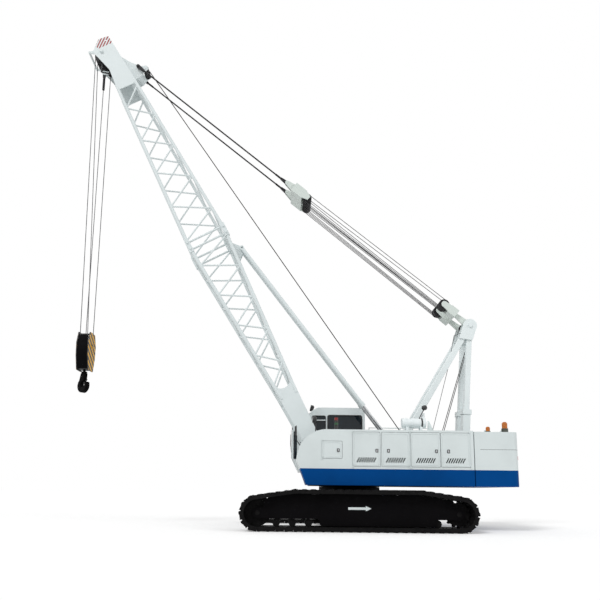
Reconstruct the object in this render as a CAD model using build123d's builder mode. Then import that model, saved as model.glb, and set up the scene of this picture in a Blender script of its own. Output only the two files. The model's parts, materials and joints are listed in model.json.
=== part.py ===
from build123d import *
from math import acos, atan2, cos, degrees, hypot, radians, sin
import os

os.makedirs("parts", exist_ok=True)

# Millimetres throughout. X runs to the rear, Y to the machine's right, Z up from the ground.
# Side views are drawn from the slewing axis: forward is negative x, and the second value is the height.

# Undercarriage
track_centre = 1770
shoe_width = 760
track_length = 5360
track_height = 940
shoe_thickness = 45
link_height = 60
end_radius = 405
top_run_half = 1450
shoe_pitch = 202
shoe_gap = 14
shoe_lip = 12
seat_gap = 0.3
frame_width = 330
frame_bottom = 290
frame_top = 680
frame_half = 1850
fork_plate = 40
roller_radius = 85
roller_width = 250
roller_count = 11
roller_pitch = 365
roller_first = -1850
carrier_radius = 70
carrier_x = 850
wheel_width = 150
wheel_axle_radius = 55
guard_front = -900
guard_rear = 1800
guard_bottom = 125
guard_plate = 16
cover_half = 2150
cover_clearance = 14
carbody_length = 1900
carbody_width = 1700
carbody_bottom = 360
carbody_top = 820
beam_x = 830
beam_width = 430
beam_height = 330
beam_centre_z = 515
pedestal_radius = 820
drive_radius = 190
drive_length = 270

# Slewing ring
ring_radius = 780
ring_wall = 130
ring_bottom = 880
ring_top = 1010
running_gap = 6
ring_clearance = 0.1

# Upperstructure
deck_bottom = 1040
deck_top = 1420
deck_plate = 30
house_half_width = 1630
aisle_half_width = 850
house_front = -1390
house_nose_z = 1620
deck_front = -1170
right_deck_setback = 160
house_rear = 2760
house_top = 2340
roof_front = -720
house_wall = 40
rear_house_front = 640
web_y = 520
web_thickness = 40
tail_x = 3830
tail_gap = 20
tail_corner = 150
slab_split = 1900
tail_top = 2320
notch_rear = 3160
notch_half = 470

# Doors of the left house: front edge, rear edge, lower edge, upper edge, hinge end (-1 front, 1 rear)
left_doors = [
    ("house_door_1", -80, 560, 1480, 2280, -1),
    ("house_door_2", 600, 1250, 1480, 2280, 1),
    ("house_door_3", 1290, 1970, 1480, 2280, -1),
    ("house_door_4", 1990, 2670, 1480, 2280, 1),
    ("house_hatch", -800, -330, 1660, 2060, -1),
]
right_doors = [
    ("house_door_5", 760, 1590, 1480, 2280, -1),
    ("house_door_6", 1630, 2460, 1480, 2280, 1),
]
door_gap = 8
door_thickness = 34
hinge_proud = 10
hinge_pin = 6
hinge_lug = 24
louvre_count = 8
louvre_pitch = 55
louvre_rise = 135
louvre_width = 28
louvre_slant = 62
louvre_height = 150

# Boom, drawn in its own plane: first value along the boom from the foot pin, second towards its front face
foot_x = -790
foot_z = 1800
boom_angle = 62.2
chord_radius = 44
lacing_radius = 22
foot_half_width = 575
foot_boss_radius = 190
foot_boss_width = 110
foot_pin_radius = 50
foot_top = 1950
joint_s = 6500
joint_half_depth = 530
foot_half_depth = 225
head_start = 11900
head_half_depth = 262
head_half_width = 345
joint_gap = 0.15
joint_block = 120
joint_block_length = 190
joint_pin_radius = 32
head_s = 13050
head_sheave_t = 200
head_sheave_radius = 245
head_shaft_radius = 50
head_plate = 24
head_plate_y = 372
jib_bore_s = 270
jib_bore_t = -60
jib_bore_radius = 30.05
pin_clearance = 0.06

# Luffing gear
gantry_x = 3200
gantry_z = 5280
gantry_shaft_radius = 55
strut_y = 255
strut_size = 150
leg_size = 200
cheek_plate = 35
rear_foot_x = 2930
rear_foot_z = 1520
front_foot_x = 960
front_foot_z = 1520
bridle_y = 280
pendant_y = 260
pendant_radius = 20
pendant_s = 12240
pendant_t = -550
ear_y = 180
eye_pin_radius = 27
bridle_sheave_reach = 880
bridle_sheave_radius = 140
spreader_reach = 5600
spreader_length = 720
spreader_half = 400
spreader_sheave_radius = 120
spreader_sheave_pitch = 85

# Backstops
stop_y = 140
stop_foot_x = 1150
stop_foot_z = 2100
stop_s = 6000
stop_t = -760
stop_tube_radius = 50
stop_rod_radius = 34
stop_tube_length = 5450
stop_rod_length = 4300
stop_pin_radius = 30

# Hoist
falls_drop = 8220
dead_end_drop = 420
block_height = 1050
block_sheave_x = 100
block_sheave_radius = 220
block_cheek = 25
block_half = 138
shank_radius = 36
shank_length = 225.3

# Cab
cab_inner_y = 800
cab_outer_y = 1640
cab_wall = 40
cab_rear = 540
cab_top = 3200
door_front = -1180
door_rear = -60
door_low = 1520
door_high = 3020

# The origin is on the ground, midway between the boom head's nose and the counterweight's tail
boom_cos = cos(radians(boom_angle))
boom_sin = sin(radians(boom_angle))
guard_rod_s = 13190
guard_rod_t = 520
guard_rod_radius = 28


def boom_point(s, t):
    """Side-view place, from the slewing axis, of a point given along and across the boom."""
    return foot_x - s * boom_cos - t * boom_sin, foot_z + s * boom_sin - t * boom_cos


nose_x = boom_point(guard_rod_s, guard_rod_t)[0] - guard_rod_radius
slew_x = -(nose_x + tail_x) / 2


def side(y=0.0):
    """Side view plane at width y: x from the slewing axis, then height. Extrusions go towards -Y."""
    return Plane(origin=(slew_x, y, 0), x_dir=(1, 0, 0), z_dir=(0, -1, 0))


def level(z=0.0):
    """Plan view plane at height z, centred on the slewing axis."""
    return Plane(origin=(slew_x, 0, z))


def boom_side(y=0.0):
    """Side view plane of the boom at width y: along the boom, then towards its front face."""
    return Plane(
        origin=(slew_x + foot_x, y, foot_z), x_dir=(-boom_cos, 0, boom_sin), z_dir=(0, -1, 0)
    )


def boom_vector(s, t, y):
    x, z = boom_point(s, t)
    return Vector(slew_x + x, y, z)


def place(x, y, z):
    """A point given from the slewing axis."""
    return Vector(slew_x + x, y, z)


def rod(start, end, radius):
    """Adds a round bar between two points to the part being built."""
    with BuildSketch(Plane(origin=start, z_dir=end - start)) as profile:
        Circle(radius)
    extrude(profile.sketch, amount=(end - start).length)


def square_bar(start, end, size):
    """Adds a square bar, its sides along Y, between two points of one side view."""
    with BuildSketch(Plane(origin=start, x_dir=(0, 1, 0), z_dir=end - start)) as profile:
        RectangleRounded(size, size, size * 0.12)
    extrude(profile.sketch, amount=(end - start).length)


def cross_pin(x, z, y_low, y_high, radius):
    """Adds a round pin along Y to the part being built, given from the slewing axis."""
    with BuildSketch(side(y_high)) as profile:
        with Locations((x, z)):
            Circle(radius)
    extrude(profile.sketch, amount=y_high - y_low)


def save(built, label):
    built.part.label = label
    export_step(built.part, "parts/" + label + ".step")


# Track loops: a link band with one shoe per pitch in its outline
loop_radius = end_radius - shoe_thickness
wheel_x = track_length / 2 - end_radius
top_line = track_height - shoe_thickness
slope_reach = hypot(wheel_x - top_run_half, top_line - end_radius)
slope_angle = degrees(
    atan2(top_line - end_radius, top_run_half - wheel_x) - acos(loop_radius / slope_reach)
)
tangent_x = wheel_x + loop_radius * cos(radians(slope_angle))
tangent_z = end_radius + loop_radius * sin(radians(slope_angle))

with BuildLine() as loop_line:
    Line((-wheel_x, shoe_thickness), (wheel_x, shoe_thickness))
    CenterArc((wheel_x, end_radius), loop_radius, -90, 90 + slope_angle)
    Line((tangent_x, tangent_z), (top_run_half, top_line))
    Line((top_run_half, top_line), (-top_run_half, top_line))
    Line((-top_run_half, top_line), (-tangent_x, tangent_z))
    CenterArc((-wheel_x, end_radius), loop_radius, 180 - slope_angle, 90 + slope_angle)

loop_wire = loop_line.wire()
shoe_count = round(loop_wire.length / shoe_pitch)
shoe_half = loop_wire.length / shoe_count / 2 - shoe_gap / 2
shoe_profile = [
    (-shoe_half, 8),
    (-shoe_half, -shoe_thickness + shoe_lip),
    (-shoe_half + shoe_lip, -shoe_thickness),
    (-shoe_half * 0.3, -shoe_thickness),
    (-shoe_half * 0.2, -shoe_thickness + shoe_lip),
    (shoe_half - shoe_lip, -shoe_thickness + shoe_lip),
    (shoe_half, -shoe_thickness),
    (shoe_half, 8),
]
shoe_places = []
for index in range(shoe_count):
    share = (index + 0.5) / shoe_count
    spot = loop_wire @ share
    run = loop_wire % share
    shoe_places.append(Location((spot.X, spot.Y, 0), (0, 0, degrees(atan2(run.Y, run.X)))))

for name, sign in (("track_left", -1), ("track_right", 1)):
    with BuildPart() as track:
        with BuildSketch(side(sign * track_centre + shoe_width / 2)):
            add(loop_line.line)
            make_face()
            offset(amount=-link_height, mode=Mode.SUBTRACT)
            with Locations(shoe_places):
                Polygon(*shoe_profile, align=None)
            with Locations((0, -50)):
                Rectangle(track_length, 100, mode=Mode.SUBTRACT)
        extrude(amount=shoe_width)
    save(track, name)

# Side frames with forked ends, roller guards and the carrier rollers' brackets
wheel_radius = loop_radius - link_height - seat_gap
slope_fall = (top_line - tangent_z) / (tangent_x - top_run_half)
for name, sign in (("side_frame_left", -1), ("side_frame_right", 1)):
    outer_y = sign * track_centre + frame_width / 2
    with BuildPart() as side_frame:
        with BuildSketch(side(outer_y)):
            with BuildLine():
                Polyline(
                    (-frame_half, frame_bottom),
                    (frame_half, frame_bottom),
                    (frame_half + 80, frame_bottom + 120),
                    (frame_half + 80, frame_top - 170),
                    (frame_half - 300, frame_top),
                    (-frame_half + 300, frame_top),
                    (-frame_half - 80, frame_top - 170),
                    (-frame_half - 80, frame_bottom + 120),
                    close=True,
                )
            make_face()
        extrude(amount=frame_width)
        for fork_y in (outer_y, outer_y - frame_width + fork_plate):
            with BuildSketch(side(fork_y)):
                with Locations((0, end_radius)):
                    SlotCenterToCenter(2 * wheel_x, 250)
                with Locations((-wheel_x, end_radius), (wheel_x, end_radius)):
                    Circle(wheel_axle_radius + pin_clearance, mode=Mode.SUBTRACT)
            extrude(amount=fork_plate)
        for guard_y in (outer_y, outer_y - frame_width + guard_plate):
            with BuildSketch(side(guard_y)):
                with BuildLine():
                    Polyline(
                        (guard_front, frame_bottom),
                        (guard_front + 60, guard_bottom),
                        (guard_rear - 60, guard_bottom),
                        (guard_rear, frame_bottom),
                        (guard_rear, frame_bottom + 40),
                        (guard_front, frame_bottom + 40),
                        close=True,
                    )
                make_face()
            extrude(amount=guard_plate)
            cover_top = top_line - link_height - cover_clearance
            cover_drop = (cover_half - top_run_half) * slope_fall
            with BuildSketch(side(guard_y)):
                Polygon(
                    (-top_run_half, cover_top),
                    (top_run_half, cover_top),
                    (cover_half, cover_top - cover_drop),
                    (cover_half, end_radius + 60),
                    (-cover_half, end_radius + 60),
                    (-cover_half, cover_top - cover_drop),
                    align=None,
                )
            extrude(amount=guard_plate)
    save(side_frame, name)

# Idlers at the front and toothed driving wheels at the rear
with BuildPart() as idlers:
    for sign in (-1, 1):
        with BuildSketch(side(sign * track_centre + wheel_width / 2)):
            with Locations((-wheel_x, end_radius)):
                Circle(wheel_radius)
        extrude(amount=wheel_width)
        with BuildSketch(side(sign * track_centre + wheel_width / 2)):
            with Locations((-wheel_x, end_radius)):
                Circle(wheel_radius - 60)
                Circle(110, mode=Mode.SUBTRACT)
        extrude(amount=45, mode=Mode.SUBTRACT)
        with BuildSketch(side(sign * track_centre + frame_width / 2 + 12)):
            with Locations((-wheel_x, end_radius)):
                Circle(wheel_axle_radius)
        extrude(amount=frame_width + 24)
save(idlers, "idlers")

tooth_count = 13
with BuildPart() as sprockets:
    for sign in (-1, 1):
        with BuildSketch(side(sign * track_centre + wheel_width / 2)):
            with Locations((wheel_x, end_radius)):
                Circle(wheel_radius - 42)
                with PolarLocations(wheel_radius - 45, tooth_count):
                    Trapezoid(85, 88, 72, rotation=-90)
        extrude(amount=wheel_width)
        with BuildSketch(side(sign * track_centre + frame_width / 2 + 12)):
            with Locations((wheel_x, end_radius)):
                Circle(wheel_axle_radius)
        extrude(amount=frame_width + 24)
save(sprockets, "sprockets")

# Lower rollers and carrier rollers
roller_z = shoe_thickness + link_height + roller_radius + seat_gap
carrier_z = top_line - link_height - carrier_radius - seat_gap
with BuildPart() as track_rollers:
    for sign in (-1, 1):
        roller_places = [(roller_first + index * roller_pitch, roller_z) for index in range(roller_count)]
        with BuildSketch(side(sign * track_centre + roller_width / 2)):
            with Locations(roller_places):
                Circle(roller_radius)
        extrude(amount=roller_width)
        with BuildSketch(side(sign * track_centre + roller_width / 4)):
            with Locations((-carrier_x, carrier_z), (carrier_x, carrier_z)):
                Circle(carrier_radius)
        extrude(amount=roller_width / 2)
        for x in (-carrier_x, carrier_x):
            with BuildSketch(side(sign * track_centre + roller_width / 2)):
                with Locations((x, (carrier_z + frame_top) / 2)):
                    Rectangle(90, carrier_z - frame_top)
                with Locations((x, carrier_z)):
                    Circle(40)
            extrude(amount=30)
save(track_rollers, "track_rollers")

# Travel gearboxes and motors on the inner side of each side frame's rear end
with BuildPart() as travel_drives:
    for sign in (-1, 1):
        face_y = sign * (track_centre - frame_width / 2)
        outward = Plane(
            origin=place(wheel_x, face_y - sign * 12 - sign * seat_gap, end_radius), z_dir=(0, -sign, 0)
        )
        with BuildSketch(outward):
            Circle(drive_radius)
        extrude(amount=drive_length * 0.55)
        with BuildSketch(outward.offset(drive_length * 0.55)):
            Circle(drive_radius * 0.7)
        extrude(amount=drive_length * 0.45)
save(travel_drives, "travel_drives")

# Carbody: a box with two cross beams and the pedestal of the slewing ring
with BuildPart() as carbody:
    with BuildSketch(level(carbody_bottom)):
        RectangleRounded(carbody_length, carbody_width, 260)
    extrude(amount=carbody_top - carbody_bottom)
    beam_half = track_centre - frame_width / 2 - seat_gap
    for x in (-beam_x, beam_x):
        with BuildSketch(side(beam_half)):
            with Locations((x, beam_centre_z)):
                Rectangle(beam_width, beam_height)
        extrude(amount=2 * beam_half)
    with BuildSketch(level(carbody_top)):
        Circle(pedestal_radius)
        Circle(pedestal_radius - 250, mode=Mode.SUBTRACT)
    extrude(amount=ring_bottom - carbody_top)
save(carbody, "carbody")

with BuildPart() as slew_ring:
    with BuildSketch(level(ring_bottom)):
        Circle(ring_radius)
        Circle(ring_radius - ring_wall, mode=Mode.SUBTRACT)
    extrude(amount=ring_top - ring_bottom)
    fillet(slew_ring.edges().filter_by(GeomType.CIRCLE).group_by(Axis.Z)[-1], 8)
save(slew_ring, "slew_ring")

# Revolving frame: bed plates and webs, the boom's foot brackets, gantry feet and the backstop post
bed_front = -1000
bracket_gap = 10
bracket_plate = 40
bracket_inner = foot_half_width - foot_boss_width / 2 - bracket_gap
bracket_outer = foot_half_width + foot_boss_width / 2 + bracket_gap + bracket_plate
stop_post_half = stop_y - stop_tube_radius - 20
with BuildPart() as revolving_frame:
    for z in (deck_bottom, deck_top - deck_plate):
        with BuildSketch(level(z)):
            with Locations(((bed_front + house_rear) / 2, 0)):
                Rectangle(house_rear - bed_front, 2 * (aisle_half_width - seat_gap))
        extrude(amount=deck_plate)
    for y in (-web_y, web_y):
        with BuildSketch(side(y + web_thickness / 2)):
            with Locations(((bed_front + house_rear) / 2, (deck_bottom + deck_top) / 2)):
                Rectangle(house_rear - bed_front - 20, deck_top - deck_bottom - 10)
        extrude(amount=web_thickness)
    with BuildSketch(level(ring_top + running_gap)):
        Circle(ring_radius)
    extrude(amount=deck_bottom - ring_top - running_gap)
    with BuildSketch(level(ring_bottom + 40)):
        Circle(ring_radius - ring_wall - ring_clearance)
        Circle(ring_radius - ring_wall - 110, mode=Mode.SUBTRACT)
    extrude(amount=ring_top - ring_bottom)
    with BuildSketch(level(deck_top - deck_plate)):
        with Locations(((house_rear + notch_rear) / 2 - 50 - seat_gap / 2, 0)):
            Rectangle(notch_rear - house_rear + 100 - seat_gap, 2 * notch_half - 2 * seat_gap)
    extrude(amount=deck_plate)
save(revolving_frame, "revolving_frame")

# Brackets on the deck: two plates at each boom foot, the gantry's feet and the backstops' post
bracket_base = deck_top + seat_gap
with BuildPart() as deck_brackets:
    for y in (-bracket_outer, -bracket_inner, bracket_inner - bracket_plate, bracket_outer - bracket_plate):
        with BuildSketch(side(y + bracket_plate)):
            with BuildLine():
                Line((foot_x - 260, bracket_base), (foot_x + 420, bracket_base))
                CenterArc((foot_x, foot_z), 140, 0, 360)
            make_hull()
            with Locations((foot_x, foot_z)):
                Circle(foot_pin_radius + pin_clearance, mode=Mode.SUBTRACT)
        extrude(amount=bracket_plate)
    for x, size in ((front_foot_x, strut_size), (rear_foot_x, leg_size)):
        for y in (-strut_y, strut_y):
            for lug_y in (y - size / 2 - 25 - seat_gap, y + size / 2 + seat_gap):
                with BuildSketch(side(lug_y + 25)):
                    with BuildLine():
                        Line((x - 130, bracket_base), (x + 130, bracket_base))
                        CenterArc((x, front_foot_z + 60), 75, 0, 360)
                    make_hull()
                extrude(amount=25)
    with BuildSketch(side(stop_post_half)):
        with BuildLine():
            Line((stop_foot_x - 320, bracket_base), (stop_foot_x + 60, bracket_base))
            CenterArc((stop_foot_x, stop_foot_z), 70, 0, 360)
        make_hull()
    extrude(amount=2 * stop_post_half)
    cross_pin(stop_foot_x, stop_foot_z, -stop_y - 60, stop_y + 60, stop_pin_radius)
save(deck_brackets, "deck_brackets")

with BuildPart() as deck_pins:
    for sign in (-1, 1):
        low = min(sign * (bracket_inner - bracket_plate - 15), sign * (bracket_outer + 15))
        cross_pin(foot_x, foot_z, low, low + bracket_outer - bracket_inner + bracket_plate + 30, foot_pin_radius)
save(deck_pins, "deck_pins")

# Blue side decks under both houses, open below
deck_corner = house_front + (deck_front - house_front) * (house_nose_z - deck_top) / (house_nose_z - deck_bottom)
with BuildPart() as side_decks:
    for y, setback in ((-aisle_half_width, 0), (house_half_width, right_deck_setback)):
        with BuildSketch(side(y)):
            Polygon(
                (deck_front + setback, deck_bottom),
                (house_rear, deck_bottom),
                (house_rear, deck_top),
                (deck_corner + setback, deck_top),
                align=None,
            )
        extrude(amount=house_half_width - aisle_half_width)
        with BuildSketch(level(deck_bottom)):
            with Locations(((deck_front + house_rear + setback) / 2 + 60, y - (house_half_width - aisle_half_width) / 2)):
                Rectangle(house_rear - deck_front - setback - 220, house_half_width - aisle_half_width - 2 * house_wall)
        extrude(amount=deck_top - deck_bottom - house_wall, mode=Mode.SUBTRACT)
save(side_decks, "side_decks")


def door_opening(spec, y, depth):
    """Cuts a door's opening from the wall whose outer face is at y."""
    label, front, rear, low, high, hinge_end = spec
    with BuildSketch(side(y)) as opening:
        with Locations(((front + rear) / 2, (low + high) / 2)):
            RectangleRounded(rear - front + 2 * door_gap, high - low + 2 * door_gap, 30)
    extrude(opening.sketch, amount=depth, mode=Mode.SUBTRACT)


def hinge_lugs(x, face_y, sign, low, high):
    """Adds the two lugs that hold a hinge pin, on a wall whose outer face is at face_y."""
    for z in (low - door_gap - hinge_lug, high + door_gap):
        with BuildSketch(level(z)) as lug:
            with Locations((x, face_y + sign * (hinge_proud + hinge_pin) / 2)):
                Rectangle(2 * hinge_proud + 8, hinge_proud + hinge_pin + 4)
            with Locations((x, face_y + sign * hinge_proud)):
                Circle(hinge_pin + pin_clearance, mode=Mode.SUBTRACT)
        extrude(lug.sketch, amount=hinge_lug)


def hinge_pin_and_leaf(x, face_y, sign, low, high, away):
    """Adds a door's hinge pin, and the leaf that ties it to the door's outer face."""
    with BuildSketch(level(low - door_gap - hinge_lug + 2)) as pin:
        with Locations((x, face_y + sign * hinge_proud)):
            Circle(hinge_pin)
    extrude(pin.sketch, amount=high - low + 2 * (door_gap + hinge_lug) - 4)
    with BuildSketch(level(low + 20)) as leaf:
        with Locations((x + away * 15, face_y + sign * (hinge_proud - 2) / 2)):
            Rectangle(30, hinge_proud - 2)
    extrude(leaf.sketch, amount=high - low - 40)


def door_hinge_x(spec):
    return spec[1] if spec[5] < 0 else spec[2]


house_floor = deck_top + seat_gap
house_corner = house_front + (deck_front - house_front) * (house_nose_z - house_floor) / (
    house_nose_z - deck_bottom
)


def left_house_outline(inset):
    """Side view of the left house, closed, moved inwards by inset."""
    with BuildLine() as outline:
        front = Line((house_corner + inset, house_floor), (house_front + inset, house_nose_z))
        ThreePointArc(
            front @ 1,
            (house_front + inset + 150, house_nose_z + 450 - inset * 0.6),
            (roof_front, house_top - inset),
        )
        Line((roof_front, house_top - inset), (house_rear - inset, house_top - inset))
        Line((house_rear - inset, house_top - inset), (house_rear - inset, house_floor))
        Line((house_rear - inset, house_floor), (house_corner + inset, house_floor))
    make_face(outline.edges())


with BuildPart() as house_left:
    with BuildSketch(side(-aisle_half_width)):
        left_house_outline(0)
    extrude(amount=house_half_width - aisle_half_width)
    with BuildSketch(side(-aisle_half_width - house_wall)):
        left_house_outline(house_wall)
    extrude(amount=house_half_width - aisle_half_width - 2 * house_wall, mode=Mode.SUBTRACT)
    for spec in left_doors:
        door_opening(spec, -house_half_width + house_wall + 5, house_wall + 10)
    for spec in left_doors:
        hinge_lugs(door_hinge_x(spec), -house_half_width, -1, spec[3], spec[4])
save(house_left, "house_left")

with BuildPart() as house_right:
    with BuildSketch(side(house_half_width)):
        with Locations(((rear_house_front + house_rear) / 2, (house_floor + house_top) / 2)):
            Rectangle(house_rear - rear_house_front, house_top - house_floor)
    extrude(amount=house_half_width - aisle_half_width)
    with BuildSketch(side(house_half_width - house_wall)):
        with Locations(((rear_house_front + house_rear) / 2, (house_floor + house_top - house_wall) / 2)):
            Rectangle(house_rear - rear_house_front - 2 * house_wall, house_top - house_floor - house_wall)
    extrude(amount=house_half_width - aisle_half_width - 2 * house_wall, mode=Mode.SUBTRACT)
    for spec in right_doors:
        door_opening(spec, house_half_width + 5, house_wall + 10)
    for spec in right_doors:
        hinge_lugs(door_hinge_x(spec), house_half_width, 1, spec[3], spec[4])
save(house_right, "house_right")


def build_door(spec, outer_y, sign):
    """A flat door with slanted louvres near its lower edge, its outer face at outer_y."""
    label, front, rear, low, high, hinge_end = spec
    with BuildPart() as door:
        face_y = outer_y if sign > 0 else outer_y + door_thickness
        with BuildSketch(side(face_y)):
            with Locations(((front + rear) / 2, (low + high) / 2)):
                RectangleRounded(rear - front, high - low, 26)
                if "hatch" not in label:
                    with Locations((0, low - (low + high) / 2 + louvre_height)):
                        with GridLocations(louvre_pitch, 1, louvre_count, 1):
                            SlotOverall(louvre_rise, louvre_width, rotation=louvre_slant, mode=Mode.SUBTRACT)
        extrude(amount=door_thickness)
        hinge_pin_and_leaf(door_hinge_x(spec), outer_y, sign, low, high, -hinge_end)
    save(door, label)


for spec in left_doors:
    build_door(spec, -house_half_width, -1)
for spec in right_doors:
    build_door(spec, house_half_width, 1)

# Engine, a plain block in the left house
with BuildPart() as engine:
    with BuildSketch(level(house_floor)):
        with Locations((1850, -(aisle_half_width + house_half_width) / 2)):
            Rectangle(1100, 520)
    extrude(amount=720)
save(engine, "engine")

# Counterweight: a blue lower slab and two white slabs, with rounded tail corners


def tail_slab(low, high):
    with BuildSketch(level(low)) as slab:
        with Locations(((house_rear + tail_gap + tail_x) / 2, 0)):
            Rectangle(tail_x - house_rear - tail_gap, 2 * house_half_width)
        fillet(slab.vertices().group_by(Axis.X)[-1], tail_corner)
        with Locations(((house_rear + tail_gap + notch_rear) / 2, 0)):
            Rectangle(notch_rear - house_rear - tail_gap, 2 * notch_half, mode=Mode.SUBTRACT)
    extrude(slab.sketch, amount=high - low)


with BuildPart() as counterweight_lower:
    tail_slab(deck_bottom, deck_top)
save(counterweight_lower, "counterweight_lower")

with BuildPart() as counterweight_upper:
    tail_slab(deck_top + seat_gap, slab_split - seat_gap)
    tail_slab(slab_split, tail_top)
save(counterweight_upper, "counterweight_upper")

# Gantry: rear legs with a telescoping collar, front struts, and the head that carries the bridle
leg_dx = gantry_x - rear_foot_x
leg_dz = gantry_z - rear_foot_z
leg_length = hypot(leg_dx, leg_dz)
collar_share = 0.39
head_share = 0.95
strut_share = 0.915
with BuildPart() as gantry_legs:
    for y in (-strut_y, strut_y):
        foot = place(rear_foot_x, y, rear_foot_z)
        span = Vector(leg_dx, 0, leg_dz)
        square_bar(foot, foot + span * collar_share, leg_size)
        square_bar(foot + span * (collar_share - 0.022), foot + span * (collar_share + 0.012), leg_size + 40)
        square_bar(foot + span * collar_share, foot + span * (head_share - 0.01), strut_size - 10)
        square_bar(foot + span * (head_share - 0.018), foot + span * head_share, strut_size)
save(gantry_legs, "gantry_legs")

with BuildPart() as gantry_struts:
    for y in (-strut_y, strut_y):
        foot = place(front_foot_x, y, front_foot_z)
        span = Vector(gantry_x - front_foot_x, 0, gantry_z - front_foot_z)
        square_bar(foot, foot + span * strut_share, strut_size)
save(gantry_struts, "gantry_struts")

with BuildPart() as gantry_head:
    for y in (-strut_y, strut_y):
        for cheek_y in (y - strut_size / 2 - cheek_plate, y + strut_size / 2):
            with BuildSketch(side(cheek_y + cheek_plate)):
                with BuildLine():
                    CenterArc((gantry_x, gantry_z), 180, 0, 360)
                    Line((gantry_x - 300, gantry_z - 350), (gantry_x + 50, gantry_z - 400))
                make_hull()
            extrude(amount=cheek_plate)
    shaft_half = strut_y + strut_size / 2 + cheek_plate + 30
    cross_pin(gantry_x, gantry_z, -shaft_half, shaft_half, gantry_shaft_radius)
save(gantry_head, "gantry_head")


def groove_wheel(radius, width, bore):
    """Half section of a rope wheel, turned about the local X axis of its plane."""
    with BuildLine() as outline:
        Polyline(
            (-width / 2, bore),
            (-width / 2, radius),
            (-width / 2 + 8, radius),
            (0, radius - width * 0.45),
            (width / 2 - 8, radius),
            (width / 2, radius),
            (width / 2, bore),
            close=True,
        )
    make_face(outline.edges())


def sheave_row(centre, ys, radius, width, bore):
    """Adds rope wheels on one shaft along Y to the part being built."""
    for y in ys:
        spot = Plane(origin=(centre.X, y, centre.Z), x_dir=(0, 1, 0), z_dir=(1, 0, 0))
        with BuildSketch(spot) as profile:
            groove_wheel(radius, width, bore)
        revolve(profile.sketch, axis=Axis((centre.X, y, centre.Z), (0, 1, 0)))


gantry_centre = place(gantry_x, 0, gantry_z)
with BuildPart() as gantry_sheaves:
    sheave_row(gantry_centre, (-60, 60), 170, 60, gantry_shaft_radius + pin_clearance)
save(gantry_sheaves, "gantry_sheaves")

# Line from the gantry head to the pendants' pin at the boom head
pendant_x, pendant_z = boom_point(pendant_s, pendant_t)
line_length = hypot(pendant_x - gantry_x, pendant_z - gantry_z)
line_cos = (gantry_x - pendant_x) / line_length
line_sin = (pendant_z - gantry_z) / line_length


def line_side(y=0.0):
    """Side view plane along the luffing line: from the gantry head towards the boom head."""
    return Plane(origin=place(gantry_x, y, gantry_z), x_dir=(-line_cos, 0, line_sin), z_dir=(0, -1, 0))


def line_point(reach, y):
    return place(gantry_x - reach * line_cos, y, gantry_z + reach * line_sin)


# Bridle: two sheave blocks on links that turn on the gantry head's shaft
link_plate = 50
bridle_half = 150
with BuildPart() as bridle:
    for y in (-bridle_y, bridle_y):
        with BuildSketch(line_side(y + link_plate / 2)):
            with BuildLine():
                CenterArc((0, 0), 100, 0, 360)
                Line((bridle_sheave_reach - 400, -55), (bridle_sheave_reach - 400, 55))
            make_hull()
            Circle(gantry_shaft_radius + pin_clearance, mode=Mode.SUBTRACT)
        extrude(amount=link_plate)
        with BuildSketch(line_side(y + bridle_half)):
            with Locations((bridle_sheave_reach - 300, 0)):
                Rectangle(240, 220)
        extrude(amount=2 * bridle_half)
        for cheek_y in (y + bridle_half, y - bridle_half + 24):
            with BuildSketch(line_side(cheek_y)):
                with BuildLine():
                    CenterArc((bridle_sheave_reach, 0), 80, 0, 360)
                    Line((bridle_sheave_reach - 420, -110), (bridle_sheave_reach - 420, 110))
                make_hull()
            extrude(amount=24)
        with BuildSketch(line_side(y + bridle_half)):
            with Locations((bridle_sheave_reach, 0)):
                Circle(40)
        extrude(amount=2 * bridle_half)
save(bridle, "bridle")

sheave_width = 56
with BuildPart() as bridle_sheaves:
    for y in (-bridle_y, bridle_y):
        row = [y + (index - 1.5) * (sheave_width + 2) for index in range(4)]
        sheave_row(line_point(bridle_sheave_reach, 0), row, bridle_sheave_radius, sheave_width, 40 + pin_clearance)
save(bridle_sheaves, "bridle_sheaves")

# Spreader: a box of two cover plates with its sheaves at one end and two forks for the pendants
pendant_end = line_length - spreader_reach
spreader_sheave = pendant_end - spreader_length
with BuildPart() as spreader:
    for low, high in ((-130, -104), (104, 130)):
        with BuildSketch(Plane(line_side().origin, x_dir=(-line_cos, 0, line_sin), z_dir=(line_sin, 0, line_cos)).offset(low)):
            with Locations((spreader_sheave + 295, 0)):
                Rectangle(370, 2 * spreader_half)
        extrude(amount=high - low)
    for y in (-spreader_half, -12, spreader_half - 24):
        with BuildSketch(line_side(y + 24)):
            with BuildLine():
                Polyline(
                    (spreader_sheave - 60, -60),
                    (spreader_sheave + 110, -117),
                    (spreader_sheave + 480, -117),
                    (spreader_sheave + 480, 117),
                    (spreader_sheave + 110, 117),
                    (spreader_sheave - 60, 60),
                    close=True,
                )
            make_face()
        extrude(amount=24)
    with BuildSketch(line_side(spreader_half)):
        with Locations((spreader_sheave, 0)):
            Circle(40)
    extrude(amount=2 * spreader_half)
    for y in (-pendant_y, pendant_y):
        for fork_y in (y - 62, y + 32):
            with BuildSketch(line_side(fork_y + 30)):
                with BuildLine():
                    CenterArc((pendant_end, 0), 55, 0, 360)
                    Line((spreader_sheave + 470, -104), (spreader_sheave + 470, 104))
                make_hull()
            extrude(amount=30)
        with BuildSketch(line_side(y + 62)):
            with Locations((spreader_sheave + 465, 0)):
                Rectangle(30, 210)
        extrude(amount=124)
        fork_pin = line_point(pendant_end, 0)
        cross_pin(fork_pin.X - slew_x, fork_pin.Z, y - 70, y + 70, eye_pin_radius)
save(spreader, "spreader")

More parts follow.
